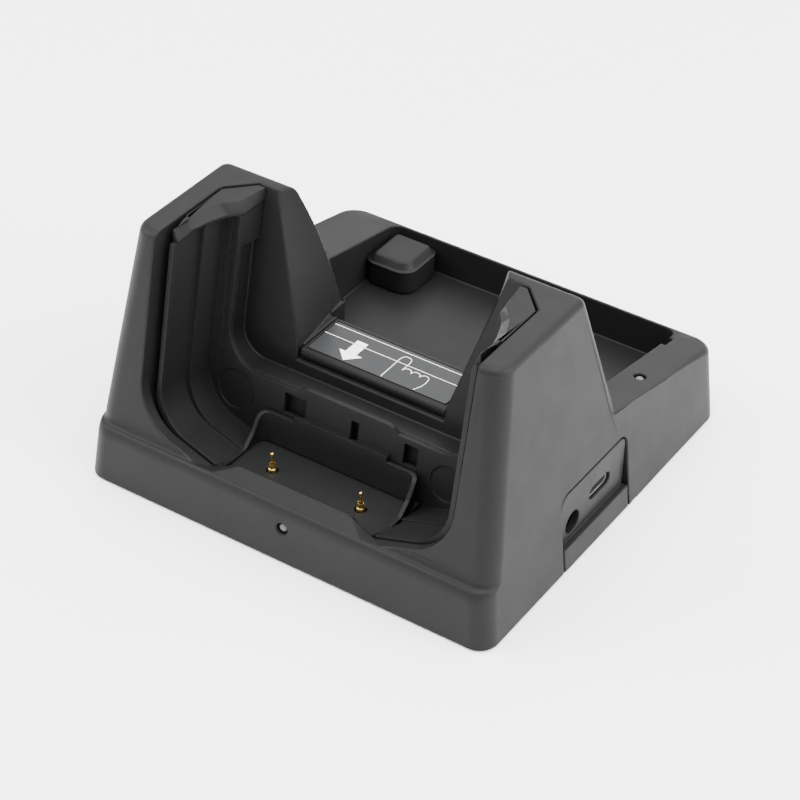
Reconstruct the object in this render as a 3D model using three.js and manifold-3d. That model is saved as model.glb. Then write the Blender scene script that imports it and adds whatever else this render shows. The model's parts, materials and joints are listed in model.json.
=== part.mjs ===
// Desktop charging cradle for a rugged handheld terminal, with a spare-battery bay behind it.
// Millimetres. +X is the user's right, +Y is towards the back, +Z is up.
// The origin is the middle of the footprint, on the surface that the feet stand on.
import * as THREE from 'three';
import { mergeVertices } from 'three/addons/utils/BufferGeometryUtils.js';
import Module from 'manifold-3d';

const wasm = await Module();
wasm.setup();

// ---- driving dimensions ----
const GAP = 0.35; // clearance between touching pieces
const WALL = 2.2; // outer wall of the moulded housing
const TUB = 1.8; // walls that line the slot and the bay
const INNER_CORNER = 0.8; // an inner corner is rounder by this much of the wall
const SEAT = 0.02; // the towers' sides stand this far inside the base's sides

const BASE = {
  bottom: 0.3, halfWidth: 56.2, front: -54.5, back: 54.5,
  sideDraft: 0.11, frontDraft: 0.075, backDraft: 0.041, corner: 6, shoulder: 15.3,
};
const OUTSIDE = 70; // further out than the housing reaches, each way
const DECK = { zBack: 20.0, yBack: 53.7, slope: 0.19 };
const TOWER = {
  root: 11, top: 66, front: -54.4, frontSlope: 0.2, backTop: -6.6, backSlope: 0.323, corner: 4.2,
};
const ABOVE = 90; // a level well above the towers, where upward-open spaces are closed off
const TILT = THREE.MathUtils.degToRad(11); // the docked terminal leans back by this much

// Device channel, in the leaning frame: x, v to the back, w up along the terminal.
const SLOT = {
  halfWidth: 42.6, bend: 13, frontV: -50.0, backV: -29.0, troughDrop: 0.8,
};
const MOUTH_TAB = { half: 21.8, flatHalf: 14.2, high: 7.8, low: 4.6 };
const WELL = { halfWidth: 22.3, floorZ: 11.3, backY: -31.0 };
const RECESS = {
  halfWidth: 36.4, bend: 7.5, floorW: 19.6, midFloorW: 21.6, midHalf: 13, backV: -22.7,
};
const INSERT = {
  outerHalf: 41.9, frontHalf: 40.4, rearHalf: 38.8, lipHalf: 39.6, rimHalf: 34.2,
  frontV: -49.5, lipV: -48.3, ridgeV: -39.2, wallV: -31.5, backV: -30.0,
  bend: 11, floorW: 4.5, slope: 0.3, skin: 1.4, topZ: 65.6,
  rimW: 20.0, rimMidW: 22.0, rimBend: 9.5,
};
const BULKHEAD = { thickness: 1.1, backV: -32.0, midW: 15.1, sideW: 13.1, midHalf: 13, half: 22.3 };
const TAB = { inner: 34.4, outer: 35.9, v0: -30.5, v1: -26.2, w0: 50.0, w1: 64.2 };

const BAR = { halfWidth: 20.2, y0: -17.2, y1: -1.6, top: 29.3, bottom: 26.9 };
const LABEL_POCKET = { halfWidth: 19.6, front: 1.6, back: 0.9, depth: 0.4 };
const LABEL_FILM = { margin: 0.3, proud: 0.05, thickness: 0.25 };
const BAR_LEG = { x: 14, halfWidth: 1.8, y0: -9.6, y1: -6.8, bottom: 22.2 };
const LEG_POCKET = { halfWidth: 2.4, y0: -15.0, y1: -6.3, bottom: 21.6 };
const SPRING = { x: 14, z: 24.2, radius: 1.35, wire: 0.4, y0: -14.6, y1: -10.0, turns: 4 };

const BAY = { x0: -39.0, x1: 43.76, y0: 5.5, y1: 51.9, floor: 10.4, corner: 3 };
const BAY_NOTCH = { halfWidth: 22.8, y0: -1.2, y1: 7.0 };
const CORNER_BLOCK = {
  x0: -38.6, x1: -26.2, y0: 38.6, y1: 51.5, z0: 10.75, z1: 20.2, corner: 2, dish: 0.7,
};

const PIN = { x: 12.4, y: -39.2, tip: 16.2, hole: 1.6 };
const CONTACTS = { pitch: 5, count: 4, z: 16, radius: 0.8 };
const CONTACT_BLOCK = { halfWidth: 12.1, y0: -5.6, y1: -1.35, z0: 12.35, z1: 19.65 };
const PORTS = {
  y0: -20.8, y1: 9.0, top: 21, corner: 3, face: 53.3, back: 51.7, foot: 3.4, step: 6.4,
};
const USB = { y: -2.75, z: 13.1, width: 9.0, height: 3.2, slotWidth: 9.5, slotHeight: 3.8 };
const JACK = { y: -14.7, z: 10.5, hole: 2.95, nose: 2.6, bore: 2.1, pin: 0.85 };
const LED = { hole: 1.5, lens: 1.15 };
const FRONT_LED = { x: 0.7, z: 9.6 };
const DECK_LED = { x: 48.3, y: 24.2 };
const COVER = { z0: 0.5, z1: 2.8, inset: 2.6 };
const FEET = { x: 45.5, y: 43.5, radius: 5, height: 1.7 };
const SCREWS = { x: 34, y: 46.3, boss: 3.2, bossTop: 14 };
const BOARD = { z0: 3.6, z1: 5.2 };

// ---- materials ----
function material(color, roughness, metalness = 0) {
  return new THREE.MeshStandardMaterial({ color, roughness, metalness });
}
const CASE = material(0x3b3c3e, 0.62);
const CASE_INNER = material(0x333436, 0.66);
const LABEL = material(0x55575a, 0.5);
const RUBBER = material(0x1b1b1c, 0.9);
const GOLD = material(0xd9a441, 0.25, 1);
const STEEL = material(0xb9bcc0, 0.35, 1);
const BOARD_GREEN = material(0x1f5a3a, 0.6);
const BLACK = material(0x151516, 0.5);
const LENS = material(0xa8adb2, 0.2);

// ---- solids: closed geometry in, closed geometry out ----
function solid(geometry) {
  const bare = geometry.clone();
  bare.deleteAttribute('normal');
  bare.deleteAttribute('uv');
  const merged = mergeVertices(bare, 1e-4);
  const mesh = new wasm.Mesh({
    numProp: 3,
    vertProperties: Float32Array.from(merged.attributes.position.array),
    triVerts: Uint32Array.from(merged.index.array),
  });
  return new wasm.Manifold(mesh);
}

function geometryOf(manifold) {
  const mesh = manifold.getMesh();
  const geometry = new THREE.BufferGeometry();
  geometry.setAttribute('position', new THREE.BufferAttribute(mesh.vertProperties, 3));
  geometry.setIndex(new THREE.BufferAttribute(mesh.triVerts, 1));
  geometry.computeVertexNormals();
  return geometry;
}

const join = (...parts) => parts.reduce((all, part) => all.add(part));
const cut = (body, ...tools) => tools.reduce((rest, tool) => rest.subtract(tool), body);

const root = new THREE.Group();
function piece(name, shape, look) {
  const mesh = new THREE.Mesh(geometryOf(shape), look);
  mesh.name = name;
  root.add(mesh);
}

function box(x0, x1, y0, y1, z0, z1) {
  const geometry = new THREE.BoxGeometry(x1 - x0, y1 - y0, z1 - z0);
  return solid(geometry.translate((x0 + x1) / 2, (y0 + y1) / 2, (z0 + z1) / 2));
}

function rodGeometry(radius, length, sides = 16) {
  return new THREE.CylinderGeometry(radius, radius, length, sides);
}
// Round bars along each axis, from a to b.
function rodX(radius, a, b, y, z, sides) {
  return solid(rodGeometry(radius, b - a, sides).rotateZ(Math.PI / 2).translate((a + b) / 2, y, z));
}
function rodY(radius, a, b, x, z, sides) {
  return solid(rodGeometry(radius, b - a, sides).translate(x, (a + b) / 2, z));
}
function rodZ(radius, a, b, x, y, sides) {
  return solid(rodGeometry(radius, b - a, sides).rotateX(Math.PI / 2).translate(x, y, (a + b) / 2));
}

function rectangle(x0, x1, y0, y1) {
  return new THREE.Shape([
    new THREE.Vector2(x0, y0),
    new THREE.Vector2(x1, y0),
    new THREE.Vector2(x1, y1),
    new THREE.Vector2(x0, y1),
  ]);
}

// Rectangle with round corners, as a shape.
function roundedRect(x0, x1, y0, y1, r) {
  const shape = new THREE.Shape();
  shape.moveTo(x0 + r, y0);
  shape.lineTo(x1 - r, y0);
  shape.absarc(x1 - r, y0 + r, r, -Math.PI / 2, 0);
  shape.lineTo(x1, y1 - r);
  shape.absarc(x1 - r, y1 - r, r, 0, Math.PI / 2);
  shape.lineTo(x0 + r, y1);
  shape.absarc(x0 + r, y1 - r, r, Math.PI / 2, Math.PI);
  shape.lineTo(x0, y0 + r);
  shape.absarc(x0 + r, y0 + r, r, Math.PI, 1.5 * Math.PI);
  return shape;
}

function prismZ(shape, z0, z1, curveSegments = 4) {
  const options = { depth: z1 - z0, bevelEnabled: false, curveSegments };
  return solid(new THREE.ExtrudeGeometry(shape, options).translate(0, 0, z0));
}
// A shape drawn in (y, z), swept along +X.
function prismX(shape, x0, x1, curveSegments = 4) {
  const options = { depth: x1 - x0, bevelEnabled: false, curveSegments };
  const geometry = new THREE.ExtrudeGeometry(shape, options);
  return solid(geometry.rotateX(Math.PI / 2).rotateZ(Math.PI / 2).translate(x0, 0, 0));
}
// A shape drawn in (x, w), swept along v, in the leaning frame of the docked terminal.
function prismV(shape, v0, v1, curveSegments = 5) {
  const options = { depth: v1 - v0, bevelEnabled: false, curveSegments };
  const geometry = new THREE.ExtrudeGeometry(shape, options);
  return solid(geometry.rotateX(Math.PI / 2).translate(0, v1, 0).rotateX(-TILT));
}

// Solid of revolution about the upright line through (x, y).
function turned(outline, x, y, sides) {
  const profile = outline.map(([radius, z]) => new THREE.Vector2(radius, z));
  return solid(new THREE.LatheGeometry(profile, sides).rotateX(Math.PI / 2).translate(x, y, 0));
}

// Closed solid through a stack of rings of points that share one count and order, lowest first.
function loft(...rings) {
  const count = rings[0].length;
  const last = (rings.length - 1) * count;
  const flat = rings[0].map((p) => new THREE.Vector2(p[0], p[1]));
  const index = [];
  for (const [a, b, c] of THREE.ShapeUtils.triangulateShape(flat, [])) {
    index.push(c, b, a);
    index.push(a + last, b + last, c + last);
  }
  for (let start = 0; start < last; start += count) {
    for (let i = 0; i < count; i += 1) {
      const next = (i + 1) % count;
      index.push(start + i, start + next, start + next + count);
      index.push(start + i, start + next + count, start + i + count);
    }
  }
  const geometry = new THREE.BufferGeometry();
  const points = new Float32Array(rings.flat().flat());
  geometry.setAttribute('position', new THREE.BufferAttribute(points, 3));
  geometry.setIndex(index);
  return solid(geometry);
}

// Ring of points round a rectangle with round corners, at one height.
function ring(x0, x1, y0, y1, r, z, steps = 4) {
  const corners = [
    [x1 - r, y0 + r, -90],
    [x1 - r, y1 - r, 0],
    [x0 + r, y1 - r, 90],
    [x0 + r, y0 + r, 180],
  ];
  const points = [];
  for (const [cx, cy, start] of corners) {
    for (let i = 0; i <= steps; i += 1) {
      const angle = THREE.MathUtils.degToRad(start + (90 * i) / steps);
      points.push([cx + r * Math.cos(angle), cy + r * Math.sin(angle), z]);
    }
  }
  return points;
}

// ---- outer form ----
const sideAt = (z) => BASE.halfWidth - BASE.sideDraft * z;
const deckAt = (y) => DECK.zBack + DECK.slope * (DECK.yBack - y);

function baseLoft(z0, z1, inset) {
  const level = (z) => ring(
    -sideAt(z) + inset, sideAt(z) - inset,
    BASE.front + BASE.frontDraft * z + inset, BASE.back - BASE.backDraft * z - inset,
    BASE.corner - inset * INNER_CORNER, z,
  );
  return loft(level(z0), level(z1));
}

function towerLoft(z0, z1, inset) {
  const level = (z) => ring(
    -sideAt(z) + inset, sideAt(z) - inset,
    TOWER.front + TOWER.frontSlope * z + inset,
    TOWER.backTop + TOWER.backSlope * (TOWER.top - z) - inset,
    TOWER.corner - inset * INNER_CORNER, z,
  );
  return loft(level(z0), level(z1));
}

// The base stops at the shoulder in front and at the sloping deck behind; the towers stand on it.
function outerForm(inset, z0) {
  const underTowers = 1.5;
  const shoulder = BASE.shoulder - inset;
  const aboveBase = new THREE.Shape([
    new THREE.Vector2(-OUTSIDE, shoulder),
    new THREE.Vector2(underTowers, shoulder),
    new THREE.Vector2(underTowers, deckAt(underTowers) - inset),
    new THREE.Vector2(OUTSIDE, deckAt(OUTSIDE) - inset),
    new THREE.Vector2(OUTSIDE, ABOVE),
    new THREE.Vector2(-OUTSIDE, ABOVE),
  ]);
  const overDeck = 40;
  const base = baseLoft(z0, overDeck, inset).subtract(prismX(aboveBase, -OUTSIDE, OUTSIDE));
  const towers = towerLoft(TOWER.root, TOWER.top - inset, inset + SEAT);
  return join(base, towers);
}

// ---- spaces inside the housing; g grows each one to make the wall that lines it ----
// A trough: upright sides, round bends, and a floor that falls towards the middle.
function troughShape(half, bend, floorAtWell) {
  const slope = INSERT.slope;
  const angle = Math.atan(slope);
  const wellX = WELL.halfWidth;
  const tangentX = half - bend + bend * Math.sin(angle);
  const floorAtTangent = floorAtWell + slope * (tangentX - wellX);
  const centreW = floorAtTangent + bend * Math.cos(angle);
  const shape = new THREE.Shape();
  shape.moveTo(half, ABOVE);
  shape.lineTo(-half, ABOVE);
  shape.absarc(-half + bend, centreW, bend, Math.PI, 1.5 * Math.PI - angle);
  shape.lineTo(-wellX, floorAtWell);
  shape.lineTo(wellX, floorAtWell);
  shape.absarc(half - bend, centreW, bend, 1.5 * Math.PI + angle, 2 * Math.PI);
  return shape;
}

function uShape(half, bend, floor) {
  const shape = new THREE.Shape();
  shape.moveTo(half, ABOVE);
  shape.lineTo(-half, ABOVE);
  shape.absarc(-half + bend, floor + bend, bend, Math.PI, 1.5 * Math.PI);
  shape.absarc(half - bend, floor + bend, bend, 1.5 * Math.PI, 2 * Math.PI);
  return shape;
}

function slotSpace(g) {
  const floorW = INSERT.floorW - INSERT.skin - SLOT.troughDrop - g;
  const deep = troughShape(SLOT.halfWidth + g, SLOT.bend, floorW);
  const channel = prismV(deep, SLOT.frontV - g, SLOT.backV + g);
  // Under the middle of the channel the housing stays whole: the well's floor is its own.
  const half = WELL.halfWidth - g;
  const middle = box(-half, half, -60, -20, -5, WELL.floorZ - g);
  return channel.subtract(middle);
}

// Opening through the front wall, with a raised tab across the middle.
function mouthSpace() {
  const shape = troughShape(SLOT.halfWidth, SLOT.bend, INSERT.floorW - 0.2);
  const opening = prismV(shape, -80, SLOT.frontV + 0.5);
  const tab = new THREE.Shape([
    new THREE.Vector2(-MOUTH_TAB.half, -20),
    new THREE.Vector2(MOUTH_TAB.half, -20),
    new THREE.Vector2(MOUTH_TAB.half, MOUTH_TAB.low),
    new THREE.Vector2(MOUTH_TAB.flatHalf, MOUTH_TAB.high),
    new THREE.Vector2(-MOUTH_TAB.flatHalf, MOUTH_TAB.high),
    new THREE.Vector2(-MOUTH_TAB.half, MOUTH_TAB.low),
  ]);
  return opening.subtract(prismV(tab, -90, SLOT.frontV + 1.5));
}

function recessSpace(g) {
  const v0 = SLOT.backV - 4;
  const v1 = RECESS.backV + g;
  const side = uShape(RECESS.halfWidth + g, RECESS.bend, RECESS.floorW - g);
  const rise = rectangle(-RECESS.midHalf + g, RECESS.midHalf - g, 0, RECESS.midFloorW - g);
  return prismV(side, v0, v1).subtract(prismV(rise, SLOT.backV + g, v1 + 5));
}

// Open space between the two towers, above the latch bar; it flares downwards and backwards.
// Its sides run through the edge of each backrest (front) and the edge of each tower's back.
function betweenTowers(g) {
  const level = (z) => {
    const t = (65.3 - z) / 35.5;
    const front = { x: 31.1 - 10.7 * t + g, y: -10.4 - 6.9 * t - 0.6 };
    const back = { x: 29.4 - 6.2 * t + g, y: -6.65 + 7.9 * t };
    const lean = (back.x - front.x) / (back.y - front.y);
    const far = { x: back.x + lean * 12, y: back.y + 12 };
    return [[-front.x, front.y, z], [front.x, front.y, z], [far.x, far.y, z], [-far.x, far.y, z]];
  };
  const z0 = BAR.top - g;
  const z1 = TOWER.top + 1.5;
  const steps = 6;
  const levels = [];
  for (let i = 0; i <= steps; i += 1) {
    levels.push(level(z0 + ((z1 - z0) * i) / steps));
  }
  return loft(...levels);
}

function barSpace(g) {
  const half = BAR.halfWidth + GAP;
  const plate = box(-half - g, half + g, -23, BAY_NOTCH.y0 + 2, BAR.bottom - GAP - g, 40);
  const legs = [-1, 1].map((side) => box(
    side * BAR_LEG.x - LEG_POCKET.halfWidth - g, side * BAR_LEG.x + LEG_POCKET.halfWidth + g,
    LEG_POCKET.y0 - g, LEG_POCKET.y1 + g, LEG_POCKET.bottom - g, 30,
  ));
  return join(plate, ...legs);
}

function baySpace(g) {
  const rect = roundedRect(BAY.x0 - g, BAY.x1 + g, BAY.y0 - g, BAY.y1 + g, BAY.corner);
  const main = prismZ(rect, BAY.floor - g, 60);
  const half = BAY_NOTCH.halfWidth + g;
  const notch = box(-half, half, BAY_NOTCH.y0 - g, BAY_NOTCH.y1, BAY.floor - g, 60);
  return join(main, notch);
}

function portSpace() {
  return prismX(roundedRect(PORTS.y0, PORTS.y1, -10, PORTS.top, PORTS.corner), 50.5, 60);
}

function screwBosses() {
  const bosses = [];
  for (const x of [-SCREWS.x, SCREWS.x]) {
    for (const y of [-SCREWS.y, SCREWS.y]) {
      bosses.push(rodZ(SCREWS.boss, COVER.z1 + GAP, SCREWS.bossTop, x, y));
    }
  }
  return bosses;
}

function screwBores(radius, z0, z1) {
  const bores = [];
  for (const x of [-SCREWS.x, SCREWS.x]) {
    for (const y of [-SCREWS.y, SCREWS.y]) {
      bores.push(rodZ(radius, z0, z1, x, y, 12));
    }
  }
  return bores;
}

function upperHousing() {
  const spaces = (g) => join(slotSpace(g), recessSpace(g), betweenTowers(g), barSpace(g), baySpace(g));
  const hollow = cut(outerForm(WALL, -2), spaces(TUB));
  const shell = join(outerForm(0, BASE.bottom).subtract(hollow), ...screwBosses());
  const ledHoles = [
    rodY(LED.hole, -60, -48, FRONT_LED.x, FRONT_LED.z),
    rodZ(LED.hole, 15, 40, DECK_LED.x, DECK_LED.y),
  ];
  const pinHoles = [-PIN.x, PIN.x].map((x) => rodZ(PIN.hole, 5, 15, x, PIN.y));
  const contactWindow = box(-12.5, 12.5, -6, 2, 12, 20);
  return cut(
    shell, spaces(0), mouthSpace(), portSpace(), contactWindow,
    ...ledHoles, ...pinHoles, ...screwBores(1.7, 0, 8.2),
  );
}

// ---- device insert: a removable liner that fits one model of terminal ----
function insertShape(half, floorW) {
  return troughShape(half, INSERT.bend, floorW);
}

function deviceInsert() {
  const under = INSERT.floorW - INSERT.skin;
  let body = prismV(insertShape(INSERT.outerHalf, under), INSERT.frontV, INSERT.backV);
  const channels = [
    prismV(insertShape(INSERT.lipHalf, INSERT.floorW), INSERT.frontV - 5, INSERT.lipV),
    prismV(insertShape(INSERT.frontHalf, INSERT.floorW - 0.6), INSERT.lipV, INSERT.ridgeV),
    prismV(insertShape(INSERT.rearHalf, INSERT.floorW), INSERT.ridgeV, INSERT.wallV),
  ];
  const rim = uShape(INSERT.rimHalf, INSERT.rimBend, INSERT.rimW);
  const rise = rectangle(-RECESS.midHalf, RECESS.midHalf, 0, INSERT.rimMidW);
  const rimSpace = prismV(rim, INSERT.wallV - 3, 0).subtract(prismV(rise, INSERT.wallV, 1));
  const wellSide = WELL.halfWidth - BULKHEAD.thickness;
  const wellSpace = box(-wellSide, wellSide, -60, WELL.backY - 1, -10, ABOVE);
  body = cut(body, ...channels, rimSpace, wellSpace);
  body = join(body, bulkhead(), ...insertTabs());
  const clear = WELL.halfWidth + GAP;
  const underWell = box(-clear, clear, -60, 0, -10, WELL.floorZ + GAP);
  const aboveTop = box(-60, 60, -60, 10, INSERT.topZ, 120);
  return cut(body, ...bandSlots(), underWell, aboveTop);
}

// Low wall round the charging well: full height at the back, falling to the trough at the sides.
function bulkhead() {
  const top = new THREE.Shape([
    new THREE.Vector2(-BULKHEAD.half, 0),
    new THREE.Vector2(BULKHEAD.half, 0),
    new THREE.Vector2(BULKHEAD.half, BULKHEAD.sideW),
    new THREE.Vector2(BULKHEAD.midHalf, BULKHEAD.sideW),
    new THREE.Vector2(BULKHEAD.midHalf, BULKHEAD.midW),
    new THREE.Vector2(-BULKHEAD.midHalf, BULKHEAD.midW),
    new THREE.Vector2(-BULKHEAD.midHalf, BULKHEAD.sideW),
    new THREE.Vector2(-BULKHEAD.half, BULKHEAD.sideW),
  ]);
  const back = prismV(top, BULKHEAD.backV - BULKHEAD.thickness, INSERT.wallV + 0.4);
  const side = new THREE.Shape();
  const v0 = BULKHEAD.backV - BULKHEAD.thickness;
  side.moveTo(INSERT.wallV, 2.5);
  side.lineTo(INSERT.wallV, BULKHEAD.sideW);
  side.lineTo(v0, BULKHEAD.sideW);
  side.quadraticCurveTo(v0 - 3.5, INSERT.floorW + 0.3, v0 - 9, INSERT.floorW);
  side.lineTo(v0 - 9, 2.5);
  const wing = (x0, x1) => {
    const options = { depth: x1 - x0, bevelEnabled: false, curveSegments: 5 };
    const geometry = new THREE.ExtrudeGeometry(side, options);
    geometry.rotateX(Math.PI / 2).rotateZ(Math.PI / 2).translate(x0, 0, 0).rotateX(-TILT);
    return solid(geometry);
  };
  const inner = WELL.halfWidth - BULKHEAD.thickness;
  return join(back, wing(-WELL.halfWidth, -inner), wing(inner, WELL.halfWidth));
}

function bandSlots() {
  const spans = [[-17, -11], [1.7, 3.7], [16.3, 20]];
  return spans.map(([x0, x1]) => prismV(rectangle(x0, x1, 13.4, 18.6), INSERT.wallV - 0.6, -20));
}

function insertTabs() {
  return [-1, 1].map((side) => {
    const xs = [side * TAB.inner, side * TAB.outer].sort((a, b) => a - b);
    return prismV(rectangle(...xs, TAB.w0, TAB.w1), TAB.v0, TAB.v1);
  });
}

// ---- battery latch ----
function latchBar() {
  const section = new THREE.Shape();
  section.moveTo(BAR.y0 + 0.4, BAR.bottom);
  section.lineTo(BAR.y1, BAR.bottom);
  section.lineTo(BAR.y1 + 1.0, BAR.bottom);
  section.lineTo(BAR.y1 + 1.0, BAR.bottom + 0.7);
  section.lineTo(BAR.y1, BAR.top - 0.3);
  section.lineTo(BAR.y1 - 0.3, BAR.top);
  section.lineTo(BAR.y0 + 1.2, BAR.top);
  section.absarc(BAR.y0 + 1.2, BAR.top - 1.2, 1.2, Math.PI / 2, Math.PI);
  const plate = prismX(section, -BAR.halfWidth, BAR.halfWidth);
  const legs = [-1, 1].map((side) => box(
    side * BAR_LEG.x - BAR_LEG.halfWidth, side * BAR_LEG.x + BAR_LEG.halfWidth,
    BAR_LEG.y0, BAR_LEG.y1, BAR_LEG.bottom, BAR.bottom + 0.5,
  ));
  const pocket = LABEL_POCKET;
  const labelPocket = box(
    -pocket.halfWidth, pocket.halfWidth, BAR.y0 + pocket.front, BAR.y1 - pocket.back,
    BAR.top - pocket.depth, BAR.top + 1,
  );
  return join(plate, ...legs).subtract(labelPocket);
}

function latchLabel() {
  const pocket = LABEL_POCKET;
  const film = LABEL_FILM;
  const half = pocket.halfWidth - film.margin;
  const top = BAR.top + film.proud;
  return box(
    -half, half, BAR.y0 + pocket.front + GAP, BAR.y1 - pocket.back - GAP, top - film.thickness, top,
  );
}

class SpringHelix extends THREE.Curve {
  constructor(x) {
    super();
    this.x = x;
  }

  getPoint(t, target = new THREE.Vector3()) {
    const angle = 2 * Math.PI * SPRING.turns * t;
    const y = SPRING.y0 + SPRING.wire / 2 + (SPRING.y1 - SPRING.y0 - SPRING.wire) * t;
    const x = this.x + SPRING.radius * Math.cos(angle);
    return target.set(x, y, SPRING.z + SPRING.radius * Math.sin(angle));
  }
}

function coilSpring(x) {
  const wire = new THREE.Shape();
  wire.absarc(0, 0, SPRING.wire / 2, 0, 2 * Math.PI);
  const stepsPerTurn = 9;
  return solid(new THREE.ExtrudeGeometry(wire, {
    extrudePath: new SpringHelix(x),
    steps: SPRING.turns * stepsPerTurn,
    curveSegments: 5,
    bevelEnabled: false,
  }));
}

// ---- charging contacts for the terminal ----
// Both are turned from [radius, height] outlines.
function pogoBarrel(x) {
  const outline = [
    [0, 6.6], [0.85, 6.6], [0.85, 9.2], [1.25, 9.2], [1.25, 12.2],
    [0.85, 12.4], [0.85, 13.2], [0.62, 13.2], [0.62, 7.6], [0, 7.6],
  ];
  return turned(outline, x, PIN.y, 14);
}

function pogoPlunger(x) {
  const outline = [
    [0, 10.6], [0.32, 10.6], [0.32, 15.4], [0.5, 15.55], [0.5, 15.9], [0.3, 16.15], [0, PIN.tip],
  ];
  return turned(outline, x, PIN.y, 12);
}

// ---- ports ----
function portPanel() {
  const y0 = PORTS.y0 + GAP;
  const y1 = PORTS.y1 - GAP;
  const outline = roundedRect(y0, y1, PORTS.foot, PORTS.top - GAP, PORTS.corner - GAP);
  const plate = prismX(outline, PORTS.back, PORTS.face);
  const inner = sideAt(PORTS.foot) - 2;
  const tongue = new THREE.Shape([
    new THREE.Vector2(PORTS.back, PORTS.foot),
    new THREE.Vector2(inner, PORTS.foot),
    new THREE.Vector2(inner, BASE.bottom),
    new THREE.Vector2(sideAt(BASE.bottom), BASE.bottom),
    new THREE.Vector2(sideAt(PORTS.step), PORTS.step),
    new THREE.Vector2(PORTS.back, PORTS.step),
  ]);
  const options = { depth: y1 - y0, bevelEnabled: false };
  const bar = new THREE.ExtrudeGeometry(tongue, options);
  bar.rotateX(Math.PI / 2).translate(0, y1, 0);
  const slot = stadium(USB.slotWidth, USB.slotHeight, 50, 56);
  return cut(join(plate, solid(bar)), slot, rodX(JACK.hole, 50, 56, JACK.y, JACK.z, 24));
}

// Slot with half-round ends, about the middle of the USB-C socket.
function stadium(width, height, x0, x1) {
  const halfWidth = width / 2;
  const halfHeight = height / 2;
  const outline = roundedRect(
    USB.y - halfWidth, USB.y + halfWidth, USB.z - halfHeight, USB.z + halfHeight, halfHeight - 0.01,
  );
  return prismX(outline, x0, x1, 5);
}

function usbShell() {
  const wall = 0.35;
  const inside = stadium(USB.width - 2 * wall, USB.height - 2 * wall, 46.8, 60);
  return stadium(USB.width, USB.height, 46.0, 53.1).subtract(inside);
}

function usbTongue() {
  const halfWidth = 3.3;
  const halfHeight = 0.35;
  return box(
    47.2, 52.5, USB.y - halfWidth, USB.y + halfWidth, USB.z - halfHeight, USB.z + halfHeight,
  );
}

function dcJack() {
  const half = 4.5;
  const body = box(40.5, 51.3, JACK.y - half, JACK.y + half, BOARD.z1 + GAP, JACK.z + 5);
  const nose = rodX(JACK.nose, 51, 53.1, JACK.y, JACK.z, 24);
  return join(body, nose).subtract(rodX(JACK.bore, 43, 60, JACK.y, JACK.z, 20));
}

function dcPin() {
  return rodX(JACK.pin, 43.4, 52.4, JACK.y, JACK.z, 12);
}

// ---- bottom ----
function bottomCover() {
  const level = (z) => ring(
    -sideAt(z) + COVER.inset, sideAt(z) - COVER.inset,
    BASE.front + BASE.frontDraft * z + COVER.inset, BASE.back - BASE.backDraft * z - COVER.inset,
    BASE.corner - 1.6, z,
  );
  const plate = loft(level(COVER.z0), level(COVER.z1));
  const portNotch = box(50.8, 60, PORTS.y0 - 1, PORTS.y1 + 1, 0, 5);
  const pocketTop = 1.9;
  const footPockets = [];
  for (const x of [-FEET.x, FEET.x]) {
    for (const y of [-FEET.y, FEET.y]) {
      footPockets.push(rodZ(FEET.radius + GAP, 0, pocketTop, x, y, 20));
    }
  }
  const clearance = screwBores(1.9, 0, 5);
  const counterbores = screwBores(3.3, 0, pocketTop);
  return cut(plate, portNotch, ...footPockets, ...clearance, ...counterbores);
}

function rubberFoot(x, y) {
  const r = FEET.radius;
  const chamfer = 0.5;
  const top = FEET.height - 0.15;
  return turned([[0, 0], [r - chamfer, 0], [r, chamfer], [r, top], [0, top]], x, y, 20);
}

function caseScrew(x, y) {
  const head = rodZ(2.8, 0.9, 1.6, x, y, 14);
  const shank = rodZ(1.35, 1.5, 7.8, x, y, 10);
  const long = 1.5;
  const thin = 0.3;
  const driveTop = 1.3;
  const drive = join(
    box(x - long, x + long, y - thin, y + thin, 0, driveTop),
    box(x - thin, x + thin, y - long, y + long, 0, driveTop),
  );
  return join(head, shank).subtract(drive);
}

// ---- inside the bay ----
function cornerBlock() {
  const b = CORNER_BLOCK;
  const rim = 1.6;
  const body = prismZ(roundedRect(b.x0, b.x1, b.y0, b.y1, b.corner), b.z0, b.z1);
  const dish = roundedRect(b.x0 + rim, b.x1 - rim, b.y0 + rim, b.y1 - rim, 1.5);
  return body.subtract(prismZ(dish, b.z1 - b.dish, b.z1 + 1));
}

// Spring contacts that the spare battery presses on, at the front of the bay.
const contactX = (i) => (i - (CONTACTS.count - 1) / 2) * CONTACTS.pitch;

function contactBlock() {
  const c = CONTACT_BLOCK;
  const bores = [];
  for (let i = 0; i < CONTACTS.count; i += 1) {
    bores.push(rodY(CONTACTS.radius + 0.3, -5.0, 0, contactX(i), CONTACTS.z, 14));
  }
  return cut(box(-c.halfWidth, c.halfWidth, c.y0, c.y1, c.z0, c.z1), ...bores);
}

// ---- circuit boards ----
function contactBoard() {
  const holes = [-PIN.x, PIN.x].map((x) => rodZ(1.2, 5, 12, x, PIN.y));
  return cut(box(-18, 18, -44.5, -34, 7.4, 8.8), ...holes);
}

// ---- assembly ----
piece('upper_housing', upperHousing(), CASE);
piece('bottom_cover', bottomCover(), CASE_INNER);
piece('device_insert', deviceInsert(), CASE_INNER);
piece('port_panel', portPanel(), CASE);
piece('latch_bar', latchBar(), CASE);
piece('latch_label', latchLabel(), LABEL);
piece('bay_corner_block', cornerBlock(), CASE_INNER);

for (const [side, x] of [['left', -1], ['right', 1]]) {
  piece(`latch_spring_${side}`, coilSpring(x * SPRING.x), STEEL);
  piece(`pogo_barrel_${side}`, pogoBarrel(x * PIN.x), GOLD);
  piece(`pogo_plunger_${side}`, pogoPlunger(x * PIN.x), GOLD);
}

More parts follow.
